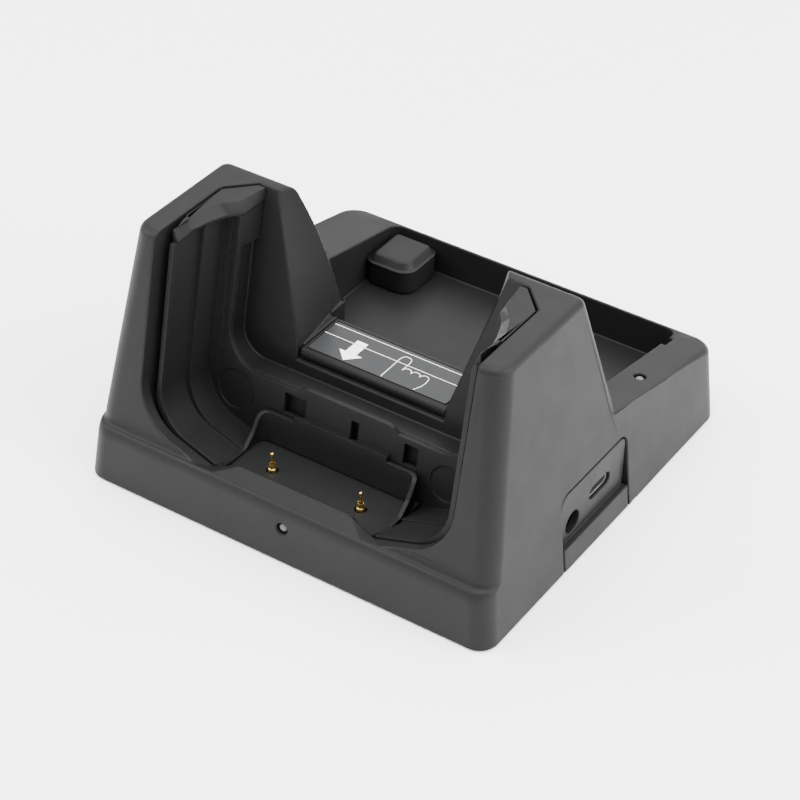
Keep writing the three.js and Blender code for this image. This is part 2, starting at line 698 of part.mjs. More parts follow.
piece('contact_board', contactBoard(), BOARD_GREEN);
piece('main_board', box(-30, 50.5, -28, 30, BOARD.z0, BOARD.z1), BOARD_GREEN);
piece('port_board', box(43.5, 51.2, -8.4, 3.0, 10.0, 11.1), BOARD_GREEN);
piece('board_riser', box(45, 48.5, -7.5, 2.0, BOARD.z1 + GAP, 10.0 - GAP), BLACK);
piece('usb_c_shell', usbShell(), STEEL);
piece('usb_c_tongue', usbTongue(), BLACK);
piece('dc_jack', dcJack(), BLACK);
piece('dc_jack_pin', dcPin(), STEEL);
piece('front_led_lens', rodY(LED.lens, -53.4, -49.5, FRONT_LED.x, FRONT_LED.z), LENS);
piece('deck_led_lens', rodZ(LED.lens, 20.5, 25.2, DECK_LED.x, DECK_LED.y), LENS);

piece('battery_contact_block', contactBlock(), BLACK);
for (let i = 0; i < CONTACTS.count; i += 1) {
  const pin = rodY(CONTACTS.radius, -3.4, 0.3, contactX(i), CONTACTS.z, 12);
  piece(`battery_contact_${i + 1}`, pin, GOLD);
}

let footNumber = 0;
for (const y of [-FEET.y, FEET.y]) {
  for (const x of [-FEET.x, FEET.x]) {
    footNumber += 1;
    piece(`rubber_foot_${footNumber}`, rubberFoot(x, y), RUBBER);
  }
}
let screwNumber = 0;
for (const y of [-SCREWS.y, SCREWS.y]) {
  for (const x of [-SCREWS.x, SCREWS.x]) {
    screwNumber += 1;
    piece(`case_screw_${screwNumber}`, caseScrew(x, y), STEEL);
  }
}

export default root;
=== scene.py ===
# %% [markdown]
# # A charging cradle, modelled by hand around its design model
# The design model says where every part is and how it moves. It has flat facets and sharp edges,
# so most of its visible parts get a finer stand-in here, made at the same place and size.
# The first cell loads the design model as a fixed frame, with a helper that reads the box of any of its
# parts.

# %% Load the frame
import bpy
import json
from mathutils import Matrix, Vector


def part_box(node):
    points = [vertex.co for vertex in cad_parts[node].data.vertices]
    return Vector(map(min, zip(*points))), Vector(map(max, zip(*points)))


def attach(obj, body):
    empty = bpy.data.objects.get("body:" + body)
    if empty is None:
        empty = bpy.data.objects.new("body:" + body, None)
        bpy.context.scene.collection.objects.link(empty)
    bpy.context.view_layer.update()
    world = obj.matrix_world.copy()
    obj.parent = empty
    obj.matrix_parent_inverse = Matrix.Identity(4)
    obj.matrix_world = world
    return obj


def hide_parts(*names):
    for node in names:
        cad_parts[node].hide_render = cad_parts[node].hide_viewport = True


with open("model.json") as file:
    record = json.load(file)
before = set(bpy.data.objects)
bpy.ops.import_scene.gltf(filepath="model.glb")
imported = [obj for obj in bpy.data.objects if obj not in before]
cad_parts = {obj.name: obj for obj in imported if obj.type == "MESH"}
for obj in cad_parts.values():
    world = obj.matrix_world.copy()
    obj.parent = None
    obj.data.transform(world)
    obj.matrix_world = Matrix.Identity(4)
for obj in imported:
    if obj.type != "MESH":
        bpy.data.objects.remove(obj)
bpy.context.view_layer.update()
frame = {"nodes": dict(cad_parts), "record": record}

import json
import math

import bmesh
import bpy
from mathutils import Vector

# %% [markdown]
# ## Working in millimetres
# Blender counts in metres, but a moulded part of this size is drawn in millimetres. All sizes
# below are millimetres, and each helper turns them into metres where it hands them to Blender.
# The driving sizes are read from the frame, so the fine parts stay on the design model.

# %% Driving sizes
MM = 0.001
GAP = 0.35
WALL = 2.2
TUB = 1.8
SEAT = 0.02
TILT = math.radians(11)
SHARP = math.radians(32)


def node_box(node):
    """The node's lowest and highest corner, in millimetres."""
    low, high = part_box(node)
    return low / MM, high / MM


HOUSING_LOW, HOUSING_HIGH = node_box("upper_housing")
BAR_LOW, BAR_HIGH = node_box("latch_bar")
PIN_LOW, PIN_HIGH = node_box("pogo_plunger_right")
COVER_LOW, COVER_HIGH = node_box("bottom_cover")

BOTTOM = HOUSING_LOW.z
TOP = HOUSING_HIGH.z
BACK = HOUSING_HIGH.y
SIDE_DRAFT = 0.11
DECK_REAR = 53.7
DECK_REAR_HEIGHT = 20.0
DECK_SLOPE = 0.19
HALF_AT_ZERO = HOUSING_HIGH.x + SIDE_DRAFT * BOTTOM
PIN_X = (PIN_LOW.x + PIN_HIGH.x) / 2
PIN_Y = (PIN_LOW.y + PIN_HIGH.y) / 2


def side_at(z):
    """Half the width of the moulding at this height: its sides lean in."""
    return HALF_AT_ZERO - SIDE_DRAFT * z


def deck_at(y):
    """Height of the sloping deck round the battery bay."""
    return DECK_REAR_HEIGHT + DECK_SLOPE * (DECK_REAR - y)


print("half width at the bottom:", round(side_at(BOTTOM), 2), "and at the top:", round(side_at(TOP), 2))

# %% [markdown]
# ## Drawing as one does by hand
# A moulded part is easiest to read as outlines that are drawn, rounded and pulled to a thickness.
# The pen below starts as a plane merged to one vertex and is extruded from corner to corner.
# It could be a curve object instead, but a mesh outline takes bevels at its corners directly.


# %% Small helpers for drawing
def clear_selection():
    if bpy.context.object and bpy.context.object.mode == "EDIT":
        bpy.ops.object.mode_set(mode="OBJECT")
    bpy.ops.object.select_all(action="DESELECT")


def take(piece):
    """Makes a piece the only one that is selected and active."""
    clear_selection()
    piece.select_set(True)
    bpy.context.view_layer.objects.active = piece


def open_mesh(piece):
    take(piece)
    bpy.ops.object.mode_set(mode="EDIT")


def select_faces():
    """In edit mode, selects the whole mesh as faces."""
    bpy.ops.mesh.select_mode(type="FACE")
    bpy.ops.mesh.select_all(action="SELECT")


def extrude(step):
    """Extrudes what is selected by this step, in metres."""
    bpy.ops.mesh.extrude_region_move(TRANSFORM_OT_translate={"value": step})


def pick(piece, kind, test):
    """In edit mode, selects the vertices, edges or faces that pass the test."""
    bpy.ops.mesh.select_mode(type=kind)
    bpy.ops.mesh.select_all(action="DESELECT")
    mesh = bmesh.from_edit_mesh(piece.data)
    parts = {"VERT": mesh.verts, "EDGE": mesh.edges, "FACE": mesh.faces}[kind]
    count = 0
    for part in parts:
        if test(part):
            part.select_set(True)
            count += 1
    bmesh.update_edit_mesh(piece.data)
    return count


def pen(name, points):
    """Draws an open line from point to point; it is left selected, in edit mode."""
    clear_selection()
    start = Vector(points[0]) * MM
    bpy.ops.mesh.primitive_plane_add(size=MM, location=start)
    piece = bpy.context.object
    piece.name = name
    bpy.ops.object.transform_apply(location=True, rotation=False, scale=False)
    bpy.ops.object.mode_set(mode="EDIT")
    bpy.ops.mesh.select_mode(type="VERT")
    bpy.ops.mesh.select_all(action="SELECT")
    bpy.ops.mesh.merge(type="CENTER")
    for here, there in zip(points, points[1:]):
        step = (Vector(there) - Vector(here)) * MM
        extrude(step)
    bpy.ops.mesh.select_all(action="SELECT")
    return piece


def draw(name, points):
    """Draws an outline corner by corner and fills it; the flat face is left in edit mode."""
    piece = pen(name, points)
    bpy.ops.mesh.edge_face_add()
    return piece


def rectangle(x0, x1, y0, y1, z):
    """The corners of a level rectangle: front left, front right, back right, back left."""
    return [(x0, y0, z), (x1, y0, z), (x1, y1, z), (x0, y1, z)]


def round_corners(piece, corners, radius, segments=8):
    """Rounds the drawn corners at these points to a true radius."""
    for corner in corners:
        target = Vector(corner) * MM
        pick(piece, "VERT", lambda v: (v.co - target).length < 0.01 * MM)
        mesh = bmesh.from_edit_mesh(piece.data)
        vertex = next(v for v in mesh.verts if v.select)
        ends = [edge.other_vert(vertex).co - vertex.co for edge in vertex.link_edges]
        reach = radius * MM / math.tan(ends[0].angle(ends[1]) / 2)
        bpy.ops.mesh.bevel(offset=reach, segments=segments, affect="VERTICES", clamp_overlap=False)


def pull(piece, x=0.0, y=0.0, z=0.0):
    """Pulls the drawn face to a thickness, points all faces outwards and leaves edit mode."""
    select_faces()
    step = Vector((x, y, z)) * MM
    extrude(step)
    finish_shape()
    return piece


def finish_shape():
    bpy.ops.mesh.select_all(action="SELECT")
    bpy.ops.mesh.normals_make_consistent(inside=False)
    bpy.ops.object.mode_set(mode="OBJECT")


def lean(piece):
    """Turns a piece drawn upright into the leaning frame of the docked terminal."""
    take(piece)
    piece.rotation_euler.x = -TILT
    bpy.ops.object.transform_apply(location=False, rotation=True, scale=False)
    return piece


def block(name, x0, x1, y0, y1, z0, z1):
    """A plain cutter block between these planes."""
    return pull(draw(name, rectangle(x0, x1, y0, y1, z0)), z=z1 - z0)


def combine(piece, tool, how):
    """Joins a tool to a piece, or cuts it away, and throws the tool away."""
    take(piece)
    modifier = piece.modifiers.new("shape", "BOOLEAN")
    modifier.operation = how
    modifier.object = tool
    modifier.solver = "EXACT"
    bpy.ops.object.modifier_apply(modifier=modifier.name)
    bpy.data.objects.remove(tool, do_unlink=True)
    return piece


def cut(piece, *tools):
    for tool in tools:
        combine(piece, tool, "DIFFERENCE")
    return piece


def join(piece, *tools):
    for tool in tools:
        combine(piece, tool, "UNION")
    return piece


def clean(piece, distance=0.004):
    """Merges points that a cut left side by side, and drops edges and faces of no size."""
    open_mesh(piece)
    bpy.ops.mesh.select_all(action="SELECT")
    bpy.ops.mesh.remove_doubles(threshold=distance * MM)
    bpy.ops.mesh.select_all(action="SELECT")
    bpy.ops.mesh.dissolve_degenerate(threshold=distance * MM)
    bpy.ops.object.mode_set(mode="OBJECT")
    return piece


def soften(piece, width, segments=3, angle=35):
    """Rounds every sharp edge by a small radius and shades the piece smooth."""
    # Faces with many corners are split into triangles first: a bevel can fold a large odd face.
    open_mesh(piece)
    pick(piece, "FACE", lambda f: len(f.verts) > 4)
    bpy.ops.mesh.quads_convert_to_tris(quad_method="BEAUTY", ngon_method="BEAUTY")
    bpy.ops.object.mode_set(mode="OBJECT")
    modifier = piece.modifiers.new("soft edges", "BEVEL")
    modifier.width = width * MM
    modifier.segments = segments
    modifier.limit_method = "ANGLE"
    modifier.angle_limit = math.radians(angle)
    modifier.use_clamp_overlap = False
    modifier.loop_slide = False
    bpy.ops.object.modifier_apply(modifier=modifier.name)
    bpy.ops.object.shade_smooth_by_angle(angle=SHARP)
    flat = piece.modifiers.new("even shading", "WEIGHTED_NORMAL")
    flat.keep_sharp = True
    flat.weight = 100
    bpy.ops.object.modifier_apply(modifier=flat.name)
    return piece


def stand_in(piece, node, body):
    """The piece replaces a design node and moves with its body; its name lets the finishes cell find it.
    """
    piece.name = f"{node}_fine"
    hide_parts(node)
    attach(piece, body)
    print(f"{piece.name}: {len(piece.data.polygons)} faces")
    return piece


# %% [markdown]
# ## The outer form
# The front of the moulding is one tall block: a base with a soft shoulder, and above it the towers,
# whose front leans back. It is a stack of rings: the top face is pulled up again and again, and
# its front, back and side vertices are moved in. That keeps the corner radius the same all the way
# up, as on the real moulding. Lofting curves would do too, but then the rings couldn't be edited.

# %% The towers' block
FRONT_CORNER = 4.8
TOWER_BACK_CORNER = 2.4
SHOULDER_START = 11.8
SHOULDER = 15.3
TOWER_FOOT = 17.4
BASE_FRONT = -54.5
FRONT_DRAFT = 0.075
TOWER_FRONT = -54.4
TOWER_LEAN = 0.2
ARC_STEPS = 6


def front_profile():
    """Points (y, z) up the front: drafted face, round shoulder, hollow ledge, leaning tower front."""
    face = BASE_FRONT + FRONT_DRAFT * SHOULDER_START
    points = [(BASE_FRONT + FRONT_DRAFT * BOTTOM, BOTTOM), (face, SHOULDER_START)]
    turns = [math.radians(90 * step / ARC_STEPS) for step in range(1, ARC_STEPS + 1)]
    for turn in turns:
        points.append((face + 1.5 * (1 - math.cos(turn)),
                       SHOULDER_START + (SHOULDER - SHOULDER_START) * math.sin(turn)))
    ledge = points[-1][0]
    tower_front = TOWER_FRONT + TOWER_LEAN * TOWER_FOOT
    for turn in turns:
        points.append((ledge + (tower_front - ledge) * math.sin(turn),
                       SHOULDER + (TOWER_FOOT - SHOULDER) * (1 - math.cos(turn))))
    return points


def tower_back(z):
    return -6.6 + 0.323 * (66 - z)


def shift_ring(piece, level, test, x=0.0, y=0.0):
    pick(piece, "VERT", lambda v: abs(v.co.z - level * MM) < 0.001 * MM and test(v.co))
    bpy.ops.transform.translate(value=Vector((x, y, 0)) * MM)


def raise_ring(piece, z0, z1, front, back, side):
    """Pulls the top ring from z0 up to z1 and moves its four sides in by these amounts."""
    pick(piece, "FACE", lambda f: abs(f.calc_center_median().z - z0 * MM) < 0.001 * MM
         and abs(f.normal.z) > 0.99)
    step = Vector((0, 0, z1 - z0)) * MM
    extrude(step)
    middle = -25 * MM
    shift_ring(piece, z1, lambda co: co.x > 0, x=-side)
    shift_ring(piece, z1, lambda co: co.x < 0, x=side)
    shift_ring(piece, z1, lambda co: co.y < middle, y=front)
    shift_ring(piece, z1, lambda co: co.y > middle, y=-back)


def tower_block(inset, bottom):
    """The tall block at the front; inset makes the smaller form of its hollow inside."""
    profile = front_profile()
    if inset:
        # The hollow keeps its distance from the shoulder and the leaning front.
        low = SHOULDER - inset
        profile = [(BASE_FRONT + FRONT_DRAFT * bottom + inset, bottom),
                   (BASE_FRONT + FRONT_DRAFT * low + inset, low),
                   (TOWER_FRONT + TOWER_LEAN * (low + 0.5) + inset, low + 0.5)]
    half = side_at(profile[0][1]) - inset
    y0, z0 = profile[0]
    y1 = tower_back(z0) - inset
    corners = rectangle(-half, half, y0, y1, z0)
    piece = draw("towers", corners)
    round_corners(piece, corners[:2], FRONT_CORNER - 0.8 * inset, 8)
    round_corners(piece, corners[2:], max(TOWER_BACK_CORNER - inset, 0.3), 6)
    select_faces()
    top = TOP - inset
    levels = profile[1:] + [(TOWER_FRONT + TOWER_LEAN * top + inset, top)]
    for y, z in levels:
        raise_ring(piece, z0, z, y - y0, tower_back(z0) - tower_back(z), SIDE_DRAFT * (z - z0))
        y0, z0 = y, z
    finish_shape()
    return piece


print("points up the front:", len(front_profile()))

# %% [markdown]
# ## The base behind the towers
# The base is a drafted block whose top is sliced off along the sloping deck. Its sides stand a
# hair inside the towers' sides, so the two blocks join without faces that lie on each other.
# The rims of the deck and of the towers get their large soft edge now, before anything is cut
# into them, because later the same edges end at many small cuts.

# %% The base block and its soft rims
REAR_CORNER = 6
REAR_DRAFT = 0.041
HIDDEN_FRONT = -10
OVER_DECK = 40


def base_block(inset, bottom):
    half = side_at(bottom) - SEAT - inset
    back = BACK - REAR_DRAFT * (bottom - BOTTOM) - inset
    corners = rectangle(-half, half, HIDDEN_FRONT, back, bottom)
    piece = draw("base", corners)
    round_corners(piece, corners[2:], REAR_CORNER - 0.8 * inset, 10)
    select_faces()
    height = OVER_DECK - bottom
    raise_ring(piece, bottom, OVER_DECK, 0, REAR_DRAFT * height, SIDE_DRAFT * height)
    bpy.ops.mesh.select_all(action="SELECT")
    point = Vector((0, 0, deck_at(0) - inset)) * MM
    bpy.ops.mesh.bisect(plane_co=point, plane_no=(0, DECK_SLOPE, 1), use_fill=True, clear_outer=True)
    finish_shape()
    return piece


def round_rim(piece, on_rim, radius, segments):
    """Gives one closed rim its large soft edge."""
    open_mesh(piece)
    count = pick(piece, "EDGE", lambda e: all(on_rim(v.co / MM) for v in e.verts)
                 and e.calc_face_angle(0) > math.radians(30))
    bpy.ops.mesh.bevel(offset=radius * MM, segments=segments, affect="EDGES", clamp_overlap=False)
    bpy.ops.object.mode_set(mode="OBJECT")
    print(f"{piece.name}: rounded {count} rim edges")
    return piece


def outer_form(inset, bottom):
    front = tower_block(inset, bottom)
    rear = base_block(inset, bottom)
    if not inset:
        round_rim(front, lambda co: abs(co.z - TOP) < 0.001, 1.7, 5)
        round_rim(rear, lambda co: abs(co.z - deck_at(co.y)) < 0.001 and co.y > HIDDEN_FRONT + 1,
                  1.5, 5)
    return join(front, rear)


shell = outer_form(0, BOTTOM)
print("outer form:", len(shell.data.polygons), "faces")

# %% [markdown]
# ## The spaces in the moulding
# The slot, the recess behind the terminal, the gap between the towers, the latch's seat and the
# battery bay are each drawn once and cut away. Every function takes a growth g: the same space,
# grown by the wall's thickness, is left standing in the hollow inside, and so makes its own wall.

# %% The leaning slot
WELL_HALF = 22.3
WELL_FLOOR = 11.3
ABOVE = 90
FLOOR_SLOPE = 0.3
LEDGE_Y = -52.1
LEDGE_Z = 15.35


def trough(name, half, bend, floor, v0, v1):
    """A channel with upright sides and a floor that falls towards the well, in the leaning frame."""
    foot = floor + FLOOR_SLOPE * (half - WELL_HALF)
    points = [(half, v0, ABOVE), (half, v0, foot), (WELL_HALF, v0, floor),
              (-WELL_HALF, v0, floor), (-half, v0, foot), (-half, v0, ABOVE)]
    piece = draw(name, points)
    round_corners(piece, [points[1], points[4]], bend, 14)
    return lean(pull(piece, y=v1 - v0))


def u_channel(name, half, bend, floor, v0, v1):
    points = [(half, v0, ABOVE), (half, v0, floor), (-half, v0, floor), (-half, v0, ABOVE)]
    piece = draw(name, points)
    round_corners(piece, points[1:3], bend, 12)
    return lean(pull(piece, y=v1 - v0))


def leaning_block(name, x0, x1, v0, v1, w0, w1):
    return lean(block(name, x0, x1, v0, v1, w0, w1))


def slot_space(g):
    channel = trough("slot", 42.6 + g, 13, 2.3 - g, -50 - g, -29 + g)
    half = WELL_HALF - g
    return cut(channel, block("well seat", -half, half, -60, -20, -5, WELL_FLOOR - g))


def mouth_space():
    """The opening in the front wall, with a low tab left standing across the middle."""
    opening = trough("mouth", 42.6, 13, 4.3, -80, -49.5)
    points = [(-21.8, -90, -20), (21.8, -90, -20), (21.8, -90, 4.6),
              (14.2, -90, 7.8), (-14.2, -90, 7.8), (-21.8, -90, 4.6)]
    tab = draw("tab", points)
    round_corners(tab, points[3:5], 6, 6)
    cut(opening, lean(pull(tab, y=42)))
    # The sill runs down from the ledge to the slot; the tab's top falls forward onto the ledge.
    sill = [(-90, 0), (-90, LEDGE_Z), (LEDGE_Y, LEDGE_Z), (-47.8, 13.7), (-47.8, 0)]
    cut(opening, pull(draw("sill", [(-45, y, z) for y, z in sill]), x=90))
    slope = [(LEDGE_Y, LEDGE_Z), (-47.0, 17.1), (-47.0, 24), (LEDGE_Y, 24)]
    return join(opening, pull(draw("tab top", [(-21.9, y, z) for y, z in slope]), x=43.8))


def recess_space(g):
    return u_channel("recess", 36.4 + g, 7.5, 19.6 - g, -33, -22.7 + g)


def between_towers(g):
    """The gap above the latch; it flares downwards and backwards, so its sides are twisted."""
    z0 = BAR_HIGH.z - g
    z1 = TOP + 1.5
    corners = []
    for z in (z0, z1):
        fall = (65.3 - z) / 35.5
        near = (31.1 - 10.7 * fall + g, -11.0 - 6.9 * fall)
        edge = (29.4 - 6.2 * fall + g, -6.65 + 7.9 * fall)
        lean_out = (edge[0] - near[0]) / (edge[1] - near[1])
        far = (edge[0] + lean_out * 12, edge[1] + 12)
        corners += [(x, y, z) for x, y in ((-near[0], near[1]), near, far, (-far[0], far[1]))]
    piece = draw("gap", corners[:4])
    extrude((0, 0, (z1 - z0) * MM))
    for low, high in zip(corners[:4], corners[4:]):
        spot = Vector((low[0], low[1], z1)) * MM
        pick(piece, "VERT", lambda v: (v.co - spot).length < 0.001 * MM)
        bpy.ops.transform.translate(value=(Vector(high) - Vector((low[0], low[1], z1))) * MM)
    # The twisted sides get a fine grid, so that each small face is almost flat.
    select_faces()
    bpy.ops.mesh.normals_make_consistent(inside=False)
    pick(piece, "FACE", lambda f: abs(f.normal.x) > 0.7)
    bpy.ops.mesh.subdivide(number_cuts=31)
    finish_shape()
    return piece


def bar_space(g):
    half = BAR_HIGH.x + GAP
    floor = 26.9 - GAP - g
    space = block("bar seat", -half - g, half + g, -23, 0.8, floor, 40)
    for side in (-1, 1):
        x = side * 14
        leg = block("leg pocket", x - 2.4 - g, x + 2.4 + g, -15 - g, -6.3 + g, 21.6 - g, 30)
        join(space, leg)
    return space


def bay_space(g):
    z = 10.4 - g
    corners = rectangle(-39.0 - g, 43.76 + g, 5.5 - g, 51.9 + g, z)
    space = draw("bay", corners)
    round_corners(space, corners, 3, 6)
    pull(space, z=50)
    half = 22.8 + g
    return join(space, block("notch", -half, half, -1.2 - g, 7.0, z, 60 - g))


def spaces(g):
    first = slot_space(g)
    return join(first, recess_space(g), between_towers(g), bar_space(g), bay_space(g))


# %% Cutting the spaces
cut(shell, slot_space(0), mouth_space(), recess_space(0), between_towers(0), bar_space(0), bay_space(0))
clean(shell)
print("shell with its spaces:", len(shell.data.polygons), "faces")

# %% [markdown]
# ## Holes, notches and the soft edge
# The light pipes, the spring contacts, the sockets and the screws all need holes. A bored hole is
# a cylinder cut away, and its rim gets the same small radius as every other edge of the moulding.
# One bevel over all sharp edges at the end is how a mould maker would break them, too.


# %% Bores and notches
def bore(name, radius, centre, axis, length, sides=28):
    """A round cutter about a line along X, Y or Z that starts at the centre."""
    clear_selection()
    turn = {"X": (0, math.pi / 2, 0), "Y": (-math.pi / 2, 0, 0), "Z": (0, 0, 0)}[axis]
    along = {"X": Vector((1, 0, 0)), "Y": Vector((0, 1, 0)), "Z": Vector((0, 0, 1))}[axis]
    middle = (Vector(centre) + along * length / 2) * MM
    bpy.ops.mesh.primitive_cylinder_add(vertices=sides, radius=radius * MM, depth=length * MM,
                                        location=middle, rotation=turn)
    bpy.ops.object.transform_apply(location=True, rotation=True, scale=True)
    piece = bpy.context.object
    piece.name = name
    return piece


def node_middle(node):
    low, high = node_box(node)
    return (low + high) / 2


FRONT_LED = node_middle("front_led_lens")
DECK_LED = node_middle("deck_led_lens")
LED_HOLE = 1.5
PORT_DEPTH = 50.5


def at_top(v):
    """Where a depth of the leaning frame comes out at the towers' top."""
    return v / math.cos(TILT) + TOP * math.tan(TILT)


def collar_seat(side):
    """Takes the corner off the tower's top, where the liner's collar lies flush with it."""
    points = [(42.5, -28.8), (42.5, -30), (36, -30), (36, -22.7), (36.4, -22.7)]
    corners = [(side * x, at_top(v), TOP - 3.4) for x, v in points]
    return pull(draw("collar seat", corners), z=10)


tools = [
    collar_seat(-1),
    collar_seat(1),
    bore("front light hole", LED_HOLE, (FRONT_LED.x, -60, FRONT_LED.z), "Y", 12),
    bore("deck light hole", LED_HOLE, (DECK_LED.x, DECK_LED.y, 15), "Z", 25),
    block("contact window", -12.5, 12.5, -6, 2, 12, 20),
    # Small notches in the towers' tops, where the liner's tabs hook in.
    leaning_block("front notch left", -44.6, -42.0, -43.1, -40.5, 61, 90),
    leaning_block("front notch right", 42.0, 44.6, -43.1, -40.5, 61, 90),
    # A finger relief in the bay's right rail, near the back.
    block("rail notch", 43.2, 44.9, 43.4, 47.6, 17.5, 40),
]
for side in (-1, 1):
    tools.append(bore("pin hole", 1.35, (side * PIN_X, PIN_Y, 5), "Z", 10))
cut(shell, *tools)

panel_low, panel_high = node_box("port_panel")
port_edges = (panel_low.y - GAP, panel_high.y + GAP)
port_corners = [(PORT_DEPTH, port_edges[0], -10), (PORT_DEPTH, port_edges[1], -10),
                (PORT_DEPTH, port_edges[1], panel_high.z + GAP),
                (PORT_DEPTH, port_edges[0], panel_high.z + GAP)]
port_space = draw("port space", port_corners)
round_corners(port_space, port_corners[2:], 3, 6)
cut(shell, pull(port_space, x=10))
hollow = cut(outer_form(WALL, BOTTOM - 2), spaces(TUB))
cut(shell, hollow)
clean(shell)
print("hollow shell:", len(shell.data.polygons), "faces")
soften(shell, 0.42)
stand_in(shell, "upper_housing", "housing")

# %% [markdown]
# ## The liner in the slot
# The liner is the part that fits one model of terminal. Seen along the terminal it is a set of
# steps: a thin lip in front, a wide channel, a ridge, a narrower channel and a back wall whose
# inner rim is a big J on each side. Each step is one trough cut out of the trough-shaped blank.

# %% The liner's steps
LINER_TOP = node_box("device_insert")[1].z
LINER_FLOOR = 4.5
BEND = 11
BACK_WALL = -31.5
RIDGE = -39.2
LIP_BACK = -48.3


def liner_blank():
    """Thinner in front, so that a dark gap stays between the lip and the moulding."""
    rear = trough("liner", 41.9, BEND, LINER_FLOOR - 1.4, -43, -30)
    front = trough("liner front", 40.8, BEND, LINER_FLOOR - 1.3, -49.5, -42.5)
    tabs = []
    for side in (-1, 1):
        tabs.append(leaning_block("hook", side * 43 - 1.2, side * 43 + 1.2, -42.8, -40.8, 61.5, 80))
        tabs.append(leaning_block("back tab", side * 35.2 - 0.95, side * 35.2 + 0.95, -31, -23, 49.5, 80))
    return join(rear, front, *tabs)


liner = liner_blank()
cut(liner, trough("lip", 39.5, BEND, LINER_FLOOR, -55, LIP_BACK + 0.2))
cut(liner, trough("front channel", 40.1, BEND, LINER_FLOOR - 0.6, LIP_BACK, RIDGE))
cut(liner, trough("rear channel", 38.8, BEND, LINER_FLOOR, RIDGE - 0.2, BACK_WALL))
rim = u_channel("rim", 34.4, 9.5, 20.0, BACK_WALL - 3, 0)
rise_corners = [(x, BACK_WALL - 4, w) for x, w in ((-17, 17.7), (-12.2, 21.5), (12.2, 21.5), (17, 17.7))]
rise = draw("rise", rise_corners)
round_corners(rise, rise_corners[1:3], 2.5, 5)
cut(rim, lean(pull(rise, y=40)))
cut(liner, rim)
well_half = WELL_HALF - 1.1
cut(liner, block("well", -well_half, well_half, -60, -32, -10, ABOVE))

# The moulding's own floor lies under the well, and the towers end the liner at the top.
clear_half = WELL_HALF + GAP
cut(liner, block("under well", -clear_half, clear_half, -60, 0, -10, WELL_FLOOR + GAP))
cut(liner, block("above top", -60, 60, -60, 10, LINER_TOP, 130))
print("liner with its steps:", len(liner.data.polygons), "faces")

# %% [markdown]
# ## The low wall round the contact well
# A thin wall stands round three sides of the well. It is one U-shaped ribbon seen from above,
# its sides fall away forwards in a hollow curve, and its middle is a step higher than its ends.

# %% The wall and its hollow curve
WALL_THIN = 1.1
WALL_BACK = -32.0
WALL_TOP = 14.4
MIDDLE_HALF = 13


def well_wall():
    front = -43.2
    points = [(-WELL_HALF, WALL_BACK, 0), (-WELL_HALF, front, 0),
              (WELL_HALF, front, 0), (WELL_HALF, WALL_BACK, 0)]
    ribbon = draw("well wall", points)
    round_corners(ribbon, [points[0], points[3]], 3.2, 6)
    pull(ribbon, z=WALL_TOP)
    inner = WELL_HALF - WALL_THIN
    inner_back = WALL_BACK - WALL_THIN
    inside = [(-inner, inner_back, -1), (-inner, -60, -1), (inner, -60, -1), (inner, inner_back, -1)]
    hole = draw("inside", inside)
    round_corners(hole, [inside[0], inside[3]], 2.1, 6)
    cut(ribbon, pull(hole, z=30))
    # The hollow curve is a profile along the wall's side, pulled right across.
    profile = [(-60, 30), (-60, 4.2), (-42.5, 4.2), (-39.0, 4.8),
               (-36.4, 8.0), (-34.0, 13.1), (-20, 13.1), (-20, 30)]
    for x0, x1 in ((-60, -MIDDLE_HALF), (MIDDLE_HALF, 60)):
        corners = [(x0, v, w) for v, w in profile]
        side = draw("fall", corners)
        round_corners(side, corners[3:6], 2.5, 4)
        cut(ribbon, pull(side, x=x1 - x0))
    cut(ribbon, block("front fall", -MIDDLE_HALF, MIDDLE_HALF, -60, -34.5, 4, 30))
    bridge = block("bridge", -12.5, 12.5, WALL_BACK - 0.5, BACK_WALL + 0.6, 3, WALL_TOP)
    return lean(join(ribbon, bridge))


wall = well_wall()
cut(wall, block("wall foot", -40, 40, -60, 0, -20, WELL_FLOOR + GAP))
join(liner, wall)

# Pockets in the band behind the wall, a shallow groove and two round sink marks on the back wall.
for x0, x1 in ((-17, -11), (1.7, 3.7), (16.3, 20)):
    cut(liner, leaning_block("pocket", x0, x1, BACK_WALL - 0.6, -20, 13.4, 18.6))
for side, radius, x, w in ((-1, 5.0, -30.9, 14.2), (1, 4.4, 28.4, 12.9)):
    groove_x = side * 36.25
    cut(liner, leaning_block("groove", groove_x - 0.25, groove_x + 0.25,
                             BACK_WALL - 1, BACK_WALL + 0.4, 20, 90))
    cut(liner, lean(bore("sink mark", radius, (x, BACK_WALL - 1, w), "Y", 1.25, 40)))
clean(liner)
print("liner:", len(liner.data.polygons), "faces")

# %% [markdown]
# ## The collar at the liner's top
# The steps end under a collar, whose sloping inner side guides the terminal in along one soft curve.
# The collar is drawn once, pulled up twice, and its upper inner edge is then moved outwards,
# most in its middle. Cutting the slope instead leaves a ragged edge along the steps.

# %% The collar
COLLAR_LOW = LINER_TOP - 3.2
COLLAR_SLOPE = LINER_TOP - 2.4


